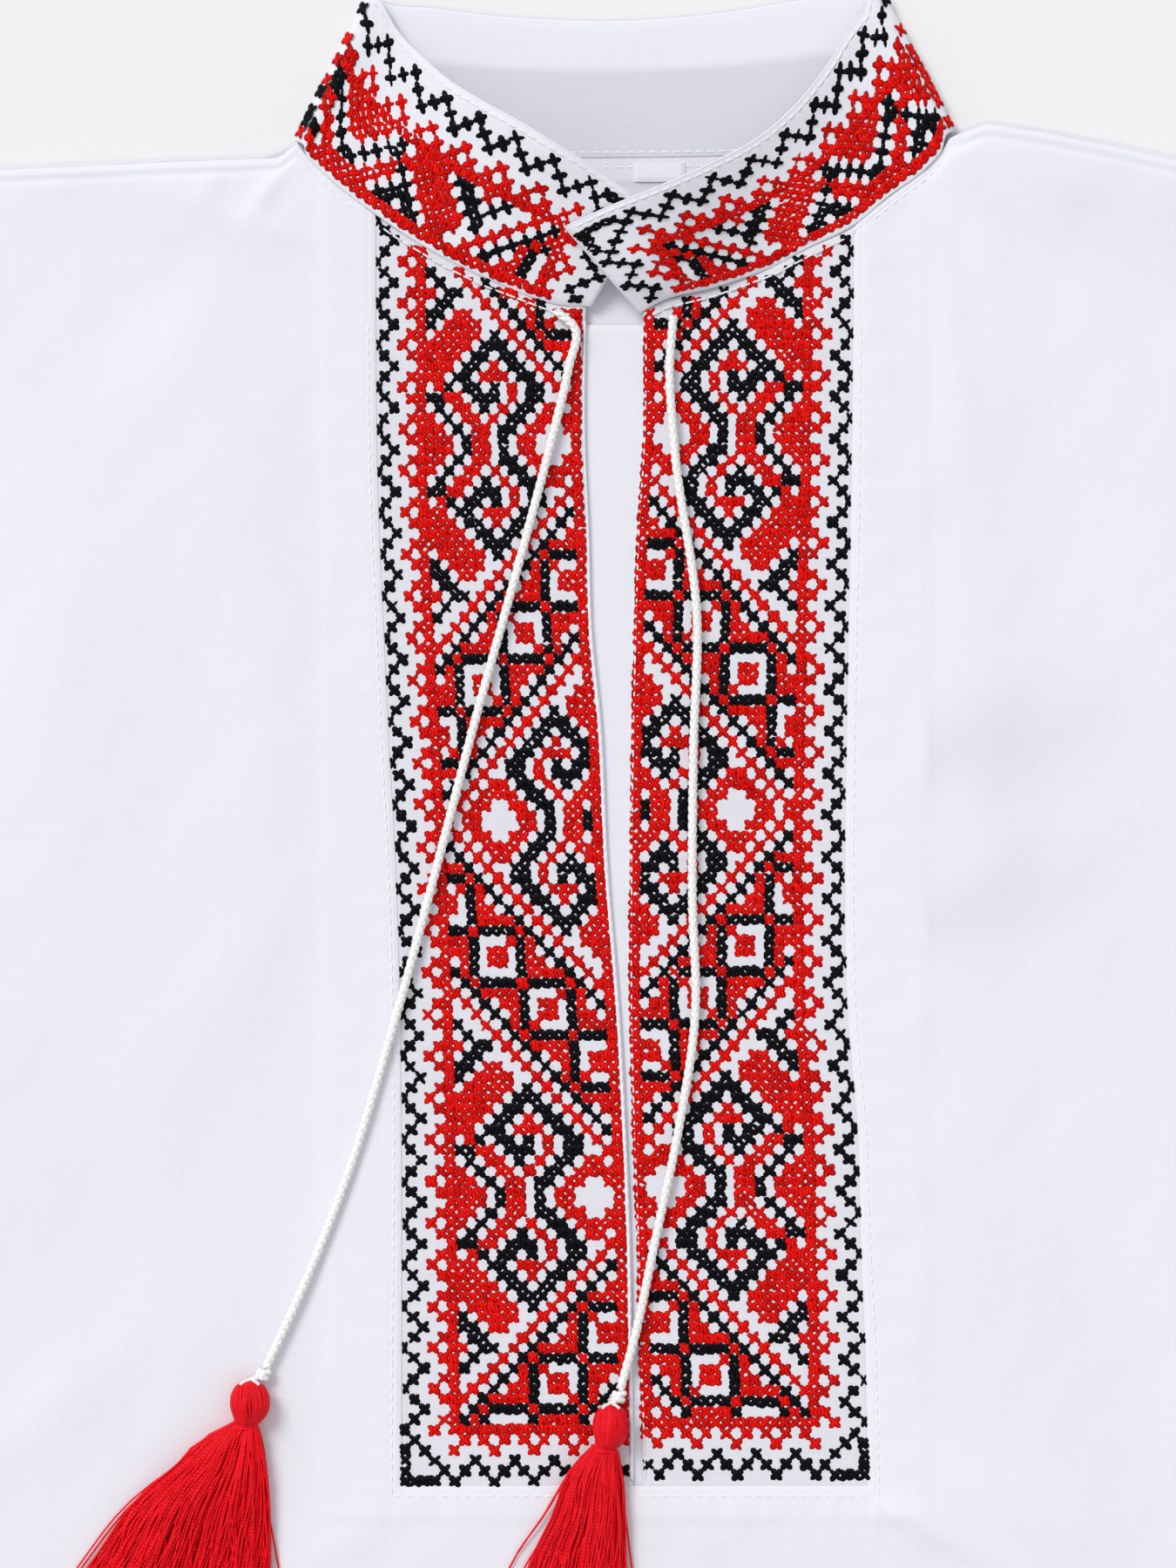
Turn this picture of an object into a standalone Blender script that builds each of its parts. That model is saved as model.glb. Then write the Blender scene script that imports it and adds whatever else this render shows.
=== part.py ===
"""A white shirt with an embroidered stand collar and chest insert, and two tasselled cords.

It is laid out on its back. Tables and named sizes are in millimetres, and the finished pieces are
in metres: +Z is up, +Y runs from the hem to the collar, and -X is the side on the left when one
looks down at it.
"""

import math

import bmesh
import bpy
import numpy as np

MM = 0.001

# Cloth, and the gap that parts two pieces at a seam
CLOTH = 1.2
COLLAR_CLOTH = 1.6
TAPE_CLOTH = 1.0
SEAM = 0.3
NECK_SEAM = 0.45

# Body
HEM_Y = -390.4
HALF_HEM = 290.0
HALF_WAIST = 284.0
WAIST_Y = -150.0
HALF_CHEST = 280.0
SHOULDER_X = 240.0
SHOULDER_Y_LEFT = 338.0
SHOULDER_Y_RIGHT = 325.0
UNDERARM_SHARE = 0.32

# Sleeve
SLEEVE_LENGTH = 600.0
SLEEVE_DROP = math.radians(40.0)
WRIST_WIDTH = 130.0
SLEEVE_LOFT = 6.0

# Rows of the front from the insert's foot to the neck, as shares; the insert has the same ones
CHEST_ROWS = (0.0, 0.08, 0.16, 0.24, 0.32, 0.361, 0.429, 0.524, 0.6, 0.66, 0.745, 0.83, 0.915, 1.0)

# Chest insert and what lies under it
INSERT_BOTTOM = 2.3
CHEST_LIFT = 1.5
CHEST_HALF = 90.0
CHEST_FADE = 50.0
UNDERLAP_LEFT = -15.0
UNDERLAP_RIGHT = 13.0
UNDERLAP_TOP = 302.3

# Collar
NECK_HALF = 85.05
BAND_Z = 3.8
FOLD_RADIUS = 1.8
BAND_SLOPE = 0.4
BAND_LAP = COLLAR_CLOTH + 0.5

# Tape under the back neck seam
TAPE = {"left": 2.25, "right": 15.75, "bottom": 339.0, "top": 344.1}

# Cords
CORD_DIAMETER = 2.45
CORD_CLEARANCE = 0.35
CORD_POINTS = 44
KNOT_RADIUS = 1.7

# Tassels
STRANDS_ACROSS = 11
STRANDS_DEEP = 4
STRAND_STEPS = 4
STRAND_CLEARANCE = 0.7

SIDE_COLUMNS = ("share", "half_width")
ARMHOLE = (
    (0.00, 280.0),
    (0.06, 264.0),
    (0.16, 247.0),
    (0.30, 234.0),
    (0.50, 226.0),
    (0.75, 228.0),
    (1.00, 240.0),
)

INSERT_COLUMNS = ("y", "left_outer", "left_slit", "right_slit", "right_outer")
INSERT = (
    (2.3, -57.4, 2.3, 4.7, 62.8),
    (36.3, -57.4, 1.9, 3.6, 62.1),
    (64.2, -57.4, 1.5, 2.9, 61.0),
    (94.8, -57.5, 0.3, 1.8, 60.1),
    (123.4, -57.8, -1.2, 1.1, 57.6),
    (162.1, -59.0, -4.3, 1.1, 56.9),
    (199.2, -61.0, -6.1, 1.6, 57.4),
    (224.0, -62.1, -8.5, 2.2, 57.8),
    (247.1, -63.2, -9.2, 2.9, 58.3),
    (273.5, -63.9, -10.3, 4.5, 58.7),
    (302.3, -64.1, -10.1, 4.8, 59.0),
    (330.0, -64.1, -9.0, 4.8, 59.2),
)

SHOULDER_COLUMNS = ("x", "y")
SHOULDER_LEFT = (
    (-240.0, 338.0),
    (-161.3, 342.3),
    (-120.0, 344.2),
    (-89.1, 345.2),
    (-85.6, 348.4),
)
SHOULDER_RIGHT = (
    (86.0, 351.2),
    (93.8, 354.2),
    (108.9, 351.8),
    (129.2, 347.9),
    (142.4, 344.8),
    (240.0, 325.0),
)

BACK_NECK_COLUMNS = ("x", "y")
BACK_NECK = (
    (-83.4, 348.2),
    (-60.0, 345.8),
    (-26.0, 344.9),
    (0.0, 344.9),
    (26.0, 345.3),
    (60.0, 347.1),
    (84.0, 350.8),
)

# The collar's sections, from its left end round the back of the neck to its right end
BAND_COLUMNS = ("lower_x", "lower_y", "upper_x", "upper_y")
LEFT_BAND = (
    (-8.3, 306.8, 6.3, 331.3),
    (-17.3, 307.2, -5.2, 339.6),
    (-36.9, 314.6, -19.6, 348.4),
    (-47.0, 319.6, -26.8, 352.9),
    (-58.95, 326.8, -36.9, 358.95),
    (-65.9, 331.7, -44.3, 363.9),
    (-74.5, 338.25, -52.0, 370.9),
    (-82.1, 345.7, -58.95, 378.5),
)
LEFT_FOLD = (-85.05, 349.7, -65.9, 387.75)
BACK_BAND = (
    (-60.0, 346.35, -48.8, 384.6),
    (-26.3, 345.45, -26.3, 382.1),
    (0.0, 345.45, 0.0, 381.45),
    (26.3, 345.9, 23.2, 383.25),
    (60.0, 347.7, 45.7, 386.85),
)
RIGHT_FOLD = (85.05, 352.2, 65.5, 390.0)
RIGHT_BAND = (
    (81.7, 346.6, 61.9, 383.0),
    (78.3, 342.75, 58.7, 379.2),
    (68.4, 335.3, 52.4, 369.1),
    (58.3, 327.2, 43.2, 357.4),
    (48.15, 322.3, 33.3, 348.8),
    (38.25, 317.1, 20.7, 341.85),
    (23.2, 311.7, 7.4, 336.0),
    (10.35, 308.55, -5.2, 331.05),
    (3.6, 304.95, -16.0, 326.3),
)
BAND_STEPS = 3

# Soft folds of the front: a crest, how far it runs and spreads, and how high it stands
FOLD_COLUMNS = ("x", "y", "degrees", "half_length", "half_width", "height")
FOLDS = (
    (-150.0, 205.0, 80.0, 110.0, 26.0, 2.0),
    (140.0, 215.0, 100.0, 110.0, 26.0, 2.4),
    (-190.0, 60.0, 70.0, 120.0, 28.0, 2.2),
    (195.0, 40.0, 112.0, 120.0, 28.0, 2.2),
    (-60.0, -190.0, 84.0, 120.0, 26.0, 3.4),
    (70.0, -230.0, 98.0, 120.0, 28.0, 3.8),
    (-185.0, -240.0, 78.0, 110.0, 26.0, 3.2),
    (190.0, -220.0, 104.0, 120.0, 26.0, 3.0),
)

ROUTE_COLUMNS = ("x", "y")
LEFT_CORD = (
    (-17.8, 305.6),
    (-12.8, 301.0),
    (-14.4, 291.0),
    (-19.4, 270.0),
    (-27.2, 240.6),
    (-38.7, 199.2),
    (-48.2, 163.0),
    (-59.0, 123.2),
    (-71.6, 82.2),
    (-84.6, 49.8),
)
RIGHT_CORD = (
    (12.6, 304.2),
    (11.7, 292.6),
    (13.0, 269.4),
    (18.7, 226.4),
    (17.8, 193.1),
    (17.5, 155.0),
    (18.2, 123.4),
    (14.0, 94.6),
    (8.3, 67.4),
    (2.3, 39.5),
)

# Tassels: the head's centre and half sizes, then the skirt's outline from the neck down
HEAD_COLUMNS = ("x", "y", "half_width", "half_length", "half_height")
LEFT_HEAD = (-96.5, 24.2, 5.1, 5.5, 3.8)
RIGHT_HEAD = (-3.6, 18.1, 4.6, 5.5, 3.8)
SKIRT_COLUMNS = ("y", "left", "right", "depth")
LEFT_SKIRT = (
    (18.0, -100.2, -95.2, 4.4),
    (4.0, -119.0, -91.8, 5.6),
    (-19.0, -138.2, -91.0, 6.0),
    (-40.0, -151.0, -93.0, 5.6),
    (-61.0, -158.0, -98.0, 4.8),
)
RIGHT_SKIRT = (
    (12.0, -7.8, -2.8, 4.4),
    (3.0, -15.5, 0.9, 5.4),
    (-19.0, -22.6, 2.2, 6.0),
    (-42.0, -28.0, 3.2, 5.6),
    (-66.0, -31.5, 2.6, 4.8),
)

MATERIALS = {
    "white cloth": {"colour": (0.84, 0.84, 0.90), "roughness": 0.9},
    "embroidered cloth": {"colour": (0.52, 0.03, 0.03), "roughness": 0.8},
    "cord": {"colour": (0.88, 0.87, 0.80), "roughness": 0.7},
    "tassel": {"colour": (0.60, 0.015, 0.02), "roughness": 0.6},
}


def column(table, names, name):
    """One named column of a table."""
    return np.array([row[names.index(name)] for row in table], dtype=float)


def smooth(share):
    """A rise from 0 to 1 that starts and ends level."""
    share = np.clip(share, 0.0, 1.0)
    return share * share * (3.0 - 2.0 * share)


def look_up(table, names, key, value, at):
    """The value column read at a place on the key column, straight between two rows."""
    keys = column(table, names, key)
    order = np.argsort(keys)
    return np.interp(at, keys[order], column(table, names, value)[order])


def folds_lift(x, y):
    """The height of the soft folds: each is a bell across its crest and fades out along it."""
    lift = np.zeros_like(x)
    for fold_x, fold_y, degrees, half_length, half_width, height in FOLDS:
        angle = math.radians(degrees)
        along = (x - fold_x) * math.cos(angle) + (y - fold_y) * math.sin(angle)
        across = (y - fold_y) * math.cos(angle) - (x - fold_x) * math.sin(angle)
        bell = np.exp(-((across / half_width) ** 2))
        lift += height * bell * (1.0 - smooth(np.abs(along) / half_length))
    return lift


def front_under(x, y):
    """The underside of the front: on the back at the sides, lifted over the chest and the folds."""
    x = np.asarray(x, dtype=float)
    y = np.asarray(y, dtype=float)
    beside = np.maximum(np.abs(x) - CHEST_HALF, 0.0)
    below = np.maximum(-5.0 - y, 0.0)
    lift = CHEST_LIFT * (1.0 - smooth(np.hypot(beside, below) / CHEST_FADE))
    return CLOTH + SEAM + lift + folds_lift(x, y)


def front_top(x, y):
    """The upper side of the front."""
    return front_under(x, y) + CLOTH


def neck_y(x):
    """The seam that joins the collar to the front, from one side of the neck to the other."""
    rows = LEFT_BAND + RIGHT_BAND + (LEFT_FOLD, RIGHT_FOLD)
    return look_up(rows, BAND_COLUMNS, "lower_x", "lower_y", x)


def neck_edge(x):
    """The cut edge below that seam: lowered by the seam's gap, more where the seam is steep."""
    slope = (neck_y(x + 0.5) - neck_y(x - 0.5)) / 1.0
    return neck_y(x) - NECK_SEAM * np.sqrt(1.0 + slope * slope)


def front_edge(x):
    """The front's upper edge: the shoulder seam outside the neck, and the neck seam inside it."""
    rows = SHOULDER_LEFT + SHOULDER_RIGHT
    shoulder = look_up(rows, SHOULDER_COLUMNS, "x", "y", x)
    return np.where(np.abs(x) > NECK_HALF + 0.3, shoulder, neck_edge(x))


def back_edge(x):
    """The back's upper edge: the shoulder seams, and the collar's seam across the back neck."""
    rows = SHOULDER_LEFT + BACK_NECK + SHOULDER_RIGHT
    return look_up(rows, SHOULDER_COLUMNS, "x", "y", x)


def half_width(y, share):
    """Half the body's width: a side seam below the underarm, and an armhole above it."""
    seam_y = (HEM_Y, WAIST_Y, INSERT_BOTTOM)
    seam = np.interp(y, seam_y, (HALF_HEM, HALF_WAIST, HALF_CHEST))
    up_armhole = (share - UNDERARM_SHARE) / (1.0 - UNDERARM_SHARE)
    hole = look_up(ARMHOLE, SIDE_COLUMNS, "share", "half_width", up_armhole)
    return np.where(share > UNDERARM_SHARE, hole, seam)


def body_rows(below, above, edge):
    """Heights of one column of a panel: given ones below the insert, then shares of the rest."""
    bottom = INSERT_BOTTOM - SEAM
    upper = [bottom + (edge - bottom) * share for share in above[1:]]
    return np.array(list(below) + [bottom] + upper)


def new_object(name, data, material):
    """An object of the scene with a material of its own."""
    values = MATERIALS[material]
    look = bpy.data.materials.new(name + " " + material)
    look.use_nodes = True
    shader = look.node_tree.nodes["Principled BSDF"]
    shader.inputs["Base Color"].default_value = (*values["colour"], 1.0)
    shader.inputs["Roughness"].default_value = values["roughness"]
    shader.inputs["Metallic"].default_value = 0.0
    data.materials.append(look)
    piece = bpy.data.objects.new(name, data)
    bpy.context.scene.collection.objects.link(piece)
    return piece


def mesh_object(name, bm, material):
    """Turns a bmesh into an object, with its faces looking outward."""
    bmesh.ops.recalc_face_normals(bm, faces=bm.faces)
    mesh = bpy.data.meshes.new(name)
    bm.to_mesh(mesh)
    bm.free()
    return new_object(name, mesh, material)


def cloth(name, points, thickness, offset, material, keep=None):
    """A piece of cloth: a surface of rows and columns of points, made solid by its thickness."""
    rows, columns = points.shape[:2]
    bm = bmesh.new()
    made = {}

    def vertex(row, col):
        if (row, col) not in made:
            made[row, col] = bm.verts.new(points[row, col] * MM)
        return made[row, col]

    for row in range(rows - 1):
        for col in range(columns - 1):
            if keep is None or keep[row, col]:
                corners = ((row, col), (row, col + 1), (row + 1, col + 1), (row + 1, col))
                bm.faces.new([vertex(*corner) for corner in corners])
    mesh = bpy.data.meshes.new(name)
    bm.to_mesh(mesh)
    bm.free()
    piece = new_object(name, mesh, material)
    wall = piece.modifiers.new("Cloth", "SOLIDIFY")
    wall.thickness = thickness * MM
    wall.offset = offset
    return piece


def make_front():
    """The front: columns either side of the insert, and more between them below it."""
    left_top = (-240.0, -215.0, -190.0, -165.0, -142.0, -120.0, -104.0, -89.1, -85.6, -82.0, -75.0)
    right_top = (68.4, 78.3, 81.7, 86.0, 93.8, 104.0, 119.0, 142.4, 165.0, 190.0, 215.0, 240.0)
    left_inner = INSERT[-1][1] - SEAM
    right_inner = INSERT[-1][4] + SEAM
    below = (HEM_Y, -345.0, -300.0, -255.0, -210.0, -165.0, -120.0, -80.0, -45.0, -18.0)
    shares = np.array([0.0] * len(below) + list(CHEST_ROWS))
    columns = []
    for side, inner, tops in ((-1, left_inner, left_top), (1, right_inner, right_top)):
        for top_x in sorted(tops + (inner,)):
            columns.append({"side": side, "inner": inner, "top": top_x})
    grid = []
    for entry in columns:
        rows_y = body_rows(below, CHEST_ROWS, float(front_edge(np.array(entry["top"]))))
        outer = entry["side"] * half_width(rows_y, shares)
        name = "left_outer" if entry["side"] < 0 else "right_outer"
        inner = look_up(INSERT, INSERT_COLUMNS, "y", name, rows_y) + entry["side"] * SEAM
        tip = entry["side"] * SHOULDER_X
        share = (entry["top"] - tip) / (entry["inner"] - tip)
        grid.append(np.stack([outer * (1.0 - share) + inner * share, rows_y], axis=1))
    count = len(left_top) + 1
    middle = []
    for share in np.linspace(0.0, 1.0, 9)[1:-1]:
        middle.append(grid[count - 1] * (1.0 - share) + grid[count] * share)
    flat = np.array(grid[:count] + middle + grid[count:]).transpose(1, 0, 2)
    height = front_under(flat[..., 0], flat[..., 1])
    keep = np.ones((flat.shape[0] - 1, flat.shape[1] - 1), dtype=bool)
    keep[len(below) :, count - 1 : count + len(middle)] = False
    points = np.dstack([flat, height])
    cloth("front", points, CLOTH, 1.0, "white cloth", keep)


def make_back():
    """The back: one flat panel that the shirt rests on."""
    rows = SHOULDER_LEFT + BACK_NECK + SHOULDER_RIGHT
    top_x = np.sort(np.concatenate([column(rows, SHOULDER_COLUMNS, "x"), [-200.0, 190.0]]))
    below = (HEM_Y, WAIST_Y)
    above = (0.0, 0.32, 0.361, 0.429, 0.524, 0.66, 0.83, 1.0)
    shares = np.array([0.0] * len(below) + list(above))
    grid = []
    for x in top_x:
        rows_y = body_rows(below, above, float(back_edge(np.array(x))))
        wide = half_width(rows_y, shares)
        grid.append(np.stack([wide * x / SHOULDER_X, rows_y, np.zeros(len(rows_y))], axis=1))
    points = np.array(grid).transpose(1, 0, 2)
    cloth("back", points, CLOTH, 1.0, "white cloth")


def make_insert(name, outer, slit):
    """One half of the embroidered insert, from its outer seam to its edge along the slit."""
    shares = np.linspace(0.0, 1.0, 9)
    heights = np.array(CHEST_ROWS)
    columns = []
    for share in shares:
        top = 320.0
        for _ in range(4):
            edge_x = look_up(INSERT, INSERT_COLUMNS, "y", outer, top)
            slit_x = look_up(INSERT, INSERT_COLUMNS, "y", slit, top)
            top = float(neck_edge(edge_x * (1.0 - share) + slit_x * share))
        y = INSERT_BOTTOM + (top - INSERT_BOTTOM) * heights
        edge_x = look_up(INSERT, INSERT_COLUMNS, "y", outer, y)
        slit_x = look_up(INSERT, INSERT_COLUMNS, "y", slit, y)
        x = edge_x * (1.0 - share) + slit_x * share
        columns.append(np.stack([x, y, front_under(x, y)], axis=1))
    points = np.array(columns).transpose(1, 0, 2)
    if outer == "right_outer":
        points = points[:, ::-1]
    cloth(name, points, CLOTH, 1.0, "embroidered cloth")


def make_underlap():
    """The plain strip under the slit, between the insert and the back."""
    z = CLOTH + SEAM
    rows = []
    for y in (INSERT_BOTTOM + 4.0, 100.0, 200.0, UNDERLAP_TOP):
        rows.append([(UNDERLAP_LEFT, y, z), (0.0, y, z), (UNDERLAP_RIGHT, y, z)])
    cloth("underlap", np.array(rows), CLOTH, 1.0, "white cloth")


def make_tape():
    """The loop of tape under the collar's seam at the back of the neck."""
    z = CLOTH + SEAM
    rows = []
    for y in (TAPE["bottom"], TAPE["top"]):
        rows.append([(TAPE["left"], y, z), (TAPE["right"], y, z)])
    cloth("neck_tape", np.array(rows), TAPE_CLOTH, 1.0, "white cloth")


def band_height(x, y, over):
    """The front of the collar: flat at the sides, and rising from its seam towards the middle."""
    reach = np.abs(x)
    seam = BAND_Z + 0.6 * smooth((reach - 40.0) / 40.0)
    rise = BAND_SLOPE * (y - neck_y(x)) * (1.0 - smooth((reach - 15.0) / 50.0))
    lap = over * BAND_LAP * smooth((y - 305.0) / 8.0) * (1.0 - smooth((x - 12.0) / 25.0))
    return seam + rise + lap


def band_section(row, over):
    """Points up one section of the front of the collar, from its seam to its upper edge."""
    lower = np.array(row[:2])
    upper = np.array(row[2:])
    share = np.linspace(0.0, 1.0, BAND_STEPS + 1)[:, None]
    flat = lower * (1.0 - share) + upper * share
    return np.column_stack([flat, band_height(flat[:, 0], flat[:, 1], over)])


def fold_sections(row, side):
    """Sections round a side of the collar, on a half circle from the front down to the back."""
    lower = np.array(row[:2])
    upper = np.array(row[2:])
    along = (upper - lower) / np.linalg.norm(upper - lower)
    outward = side * np.array([along[1], -along[0]])
    share = np.linspace(0.0, 1.0, BAND_STEPS + 1)[:, None]
    flat = lower * (1.0 - share) + upper * share
    sections = []
    for degrees in (90.0, 45.0, 0.0, -45.0, -90.0):
        angle = math.radians(degrees)
        place = flat + outward * FOLD_RADIUS * (math.cos(angle) - 1.0)
        height = COLLAR_CLOTH / 2.0 + FOLD_RADIUS * (1.0 + math.sin(angle))
        sections.append(np.column_stack([place, np.full(len(place), height)]))
    return sections


def make_collar():
    """The collar: one band from end to end, its right end over its left one."""
    sections = [band_section(row, 0.0) for row in LEFT_BAND]
    sections += fold_sections(LEFT_FOLD, -1)
    for row in BACK_BAND:
        share = np.linspace(0.0, 1.0, BAND_STEPS + 1)[:, None]
        flat = np.array(row[:2]) * (1.0 - share) + np.array(row[2:]) * share
        height = np.full(len(flat), COLLAR_CLOTH / 2.0)
        sections.append(np.column_stack([flat, height]))
    sections += fold_sections(RIGHT_FOLD, 1)[::-1]
    sections += [band_section(row, 1.0) for row in RIGHT_BAND]
    cloth("collar", np.array(sections), COLLAR_CLOTH, 0.0, "embroidered cloth")


def make_sleeve(name, side, shoulder_y):
    """A sleeve laid flat: a tube from the armhole to an open, hemmed wrist."""
    bottom = INSERT_BOTTOM - SEAM
    underarm_y = bottom + (shoulder_y - bottom) * UNDERARM_SHARE
    share = column(ARMHOLE, SIDE_COLUMNS, "share")[::-1]
    wide = column(ARMHOLE, SIDE_COLUMNS, "half_width")[::-1]
    hole = np.stack([wide + SEAM, underarm_y + (shoulder_y - underarm_y) * share], axis=1)
    along = np.array([math.cos(SLEEVE_DROP), -math.sin(SLEEVE_DROP)])
    across = np.array([-math.sin(SLEEVE_DROP), -math.cos(SLEEVE_DROP)])
    wrist_top = hole[0] + along * SLEEVE_LENGTH
    wrist_bottom = wrist_top + across * WRIST_WIDTH
    u = (1.0 - share)[:, None]
    straight = hole[0] * (1.0 - u) + hole[-1] * u
    crown = hole - straight
    bm = bmesh.new()
    rings = []
    for k in (0.0, 0.05, 0.12, 0.2, 0.3, 0.41, 0.52, 0.64, 0.76, 0.88, 1.0):
        top = hole[0] * (1.0 - k) + wrist_top * k
        low = hole[-1] * (1.0 - k) + wrist_bottom * k
        flat = top * (1.0 - u) + low * u + crown * max(1.0 - k / 0.35, 0.0) ** 2
        edge = (low - top) / np.linalg.norm(low - top) * CLOTH
        inner = flat.copy()
        inner[0] += edge
        inner[-1] -= edge
        loft = SLEEVE_LOFT * smooth(k / 0.25) * (1.0 - 0.5 * smooth((k - 0.7) / 0.3))
        ridge = 1.0 + 0.45 * np.cos(2.0 * math.pi * (1.5 * u[:, 0] + 0.9 * k))
        puff = loft * np.sin(math.pi * u[:, 0]) * ridge
        outer_top = 2.0 * CLOTH + SEAM + puff
        outer_loop = [(*point, z) for point, z in zip(flat, outer_top)]
        outer_loop += [(*point, 0.0) for point in flat[::-1]]
        inner_loop = [(*point, z - CLOTH) for point, z in zip(inner, outer_top)]
        inner_loop += [(*point, CLOTH) for point in inner[::-1]]
        ring = []
        for loop in (outer_loop, inner_loop):
            ring.append([bm.verts.new((side * x * MM, y * MM, z * MM)) for x, y, z in loop])
        rings.append(ring)
    count = 2 * len(share)
    for first, second in zip(rings, rings[1:]):
        for loop in (0, 1):
            for i in range(count):
                j = (i + 1) % count
                corners = (first[loop][i], first[loop][j], second[loop][j], second[loop][i])
                bm.faces.new(corners if loop == 0 else corners[::-1])
    for ring in (rings[0], rings[-1]):
        for i in range(count):
            j = (i + 1) % count
            bm.faces.new((ring[0][i], ring[0][j], ring[1][j], ring[1][i]))
    mesh_object(name, bm, "white cloth")


def spline(points, count):
    """A smooth curve through points, at even steps: a cubic whose slopes join neighbours."""
    points = np.array(points, dtype=float)
    steps = np.linalg.norm(np.diff(points, axis=0), axis=1)
    at = np.concatenate([[0.0], np.cumsum(steps)])
    slopes = np.gradient(points, at, axis=0)
    fine = np.linspace(0.0, at[-1], 12 * count)
    cell = np.clip(np.searchsorted(at, fine, side="right") - 1, 0, len(steps) - 1)
    wide = steps[cell][:, None]
    t = ((fine - at[cell]) / steps[cell])[:, None]
    curve = (
        (2 * t**3 - 3 * t**2 + 1) * points[cell]
        + (t**3 - 2 * t**2 + t) * wide * slopes[cell]
        + (3 * t**2 - 2 * t**3) * points[cell + 1]
        + (t**3 - t**2) * wide * slopes[cell + 1]
    )
    length = np.concatenate([[0.0], np.cumsum(np.linalg.norm(np.diff(curve, axis=0), axis=1))])
    even = np.linspace(0.0, length[-1], count)
    return np.stack([np.interp(even, length, curve[:, axis]) for axis in range(2)], axis=1)


def make_cord(side, route, head):
    """A cord on its route over the chest, and the knot between it and its tassel."""
    centre = np.array(head[:2])
    away = np.array(route[-1]) - centre
    away = away / np.linalg.norm(away)
    knot = centre + away * (head[3] + SEAM + KNOT_RADIUS)
    end = knot + away * (KNOT_RADIUS + SEAM)
    flat = spline(list(route) + [tuple(end)], CORD_POINTS)
    radius = CORD_DIAMETER / 2.0
    height = front_top(flat[:, 0], flat[:, 1]) + CORD_CLEARANCE + radius
    curve = bpy.data.curves.new("cord_" + side, "CURVE")
    curve.dimensions = "3D"
    curve.bevel_depth = radius * MM
    curve.bevel_resolution = 2
    curve.use_fill_caps = True
    line = curve.splines.new("POLY")
    line.points.add(CORD_POINTS - 1)
    for point, (x, y), z in zip(line.points, flat, height):
        point.co = (x * MM, y * MM, z * MM, 1.0)
    new_object("cord_" + side, curve, "cord")
    bm = bmesh.new()
    bmesh.ops.create_uvsphere(bm, u_segments=10, v_segments=6, radius=KNOT_RADIUS * MM)
    ball = mesh_object("knot_" + side, bm, "cord")
    knot_z = float(front_top(knot[0], knot[1])) + CORD_CLEARANCE + KNOT_RADIUS
    ball.location = (knot[0] * MM, knot[1] * MM, knot_z * MM)
    print("cord_" + side, "length", round(float(np.linalg.norm(np.diff(flat, axis=0), axis=1).sum()), 1))


def skirt_at(skirt, y, name):
    """One side, or the depth, of a tassel's skirt at a height."""
    return float(look_up(skirt, SKIRT_COLUMNS, "y", name, y))


def drawn_sides(face, sides):
    """Which side each corner of a drawn out face is on, from the corner that it was drawn from."""
    found = {}
    for vertex in face.verts:
        for edge in vertex.link_edges:
            origin = edge.other_vert(vertex)
            if origin in sides:
                found[vertex] = sides[origin]
    return found


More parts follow.
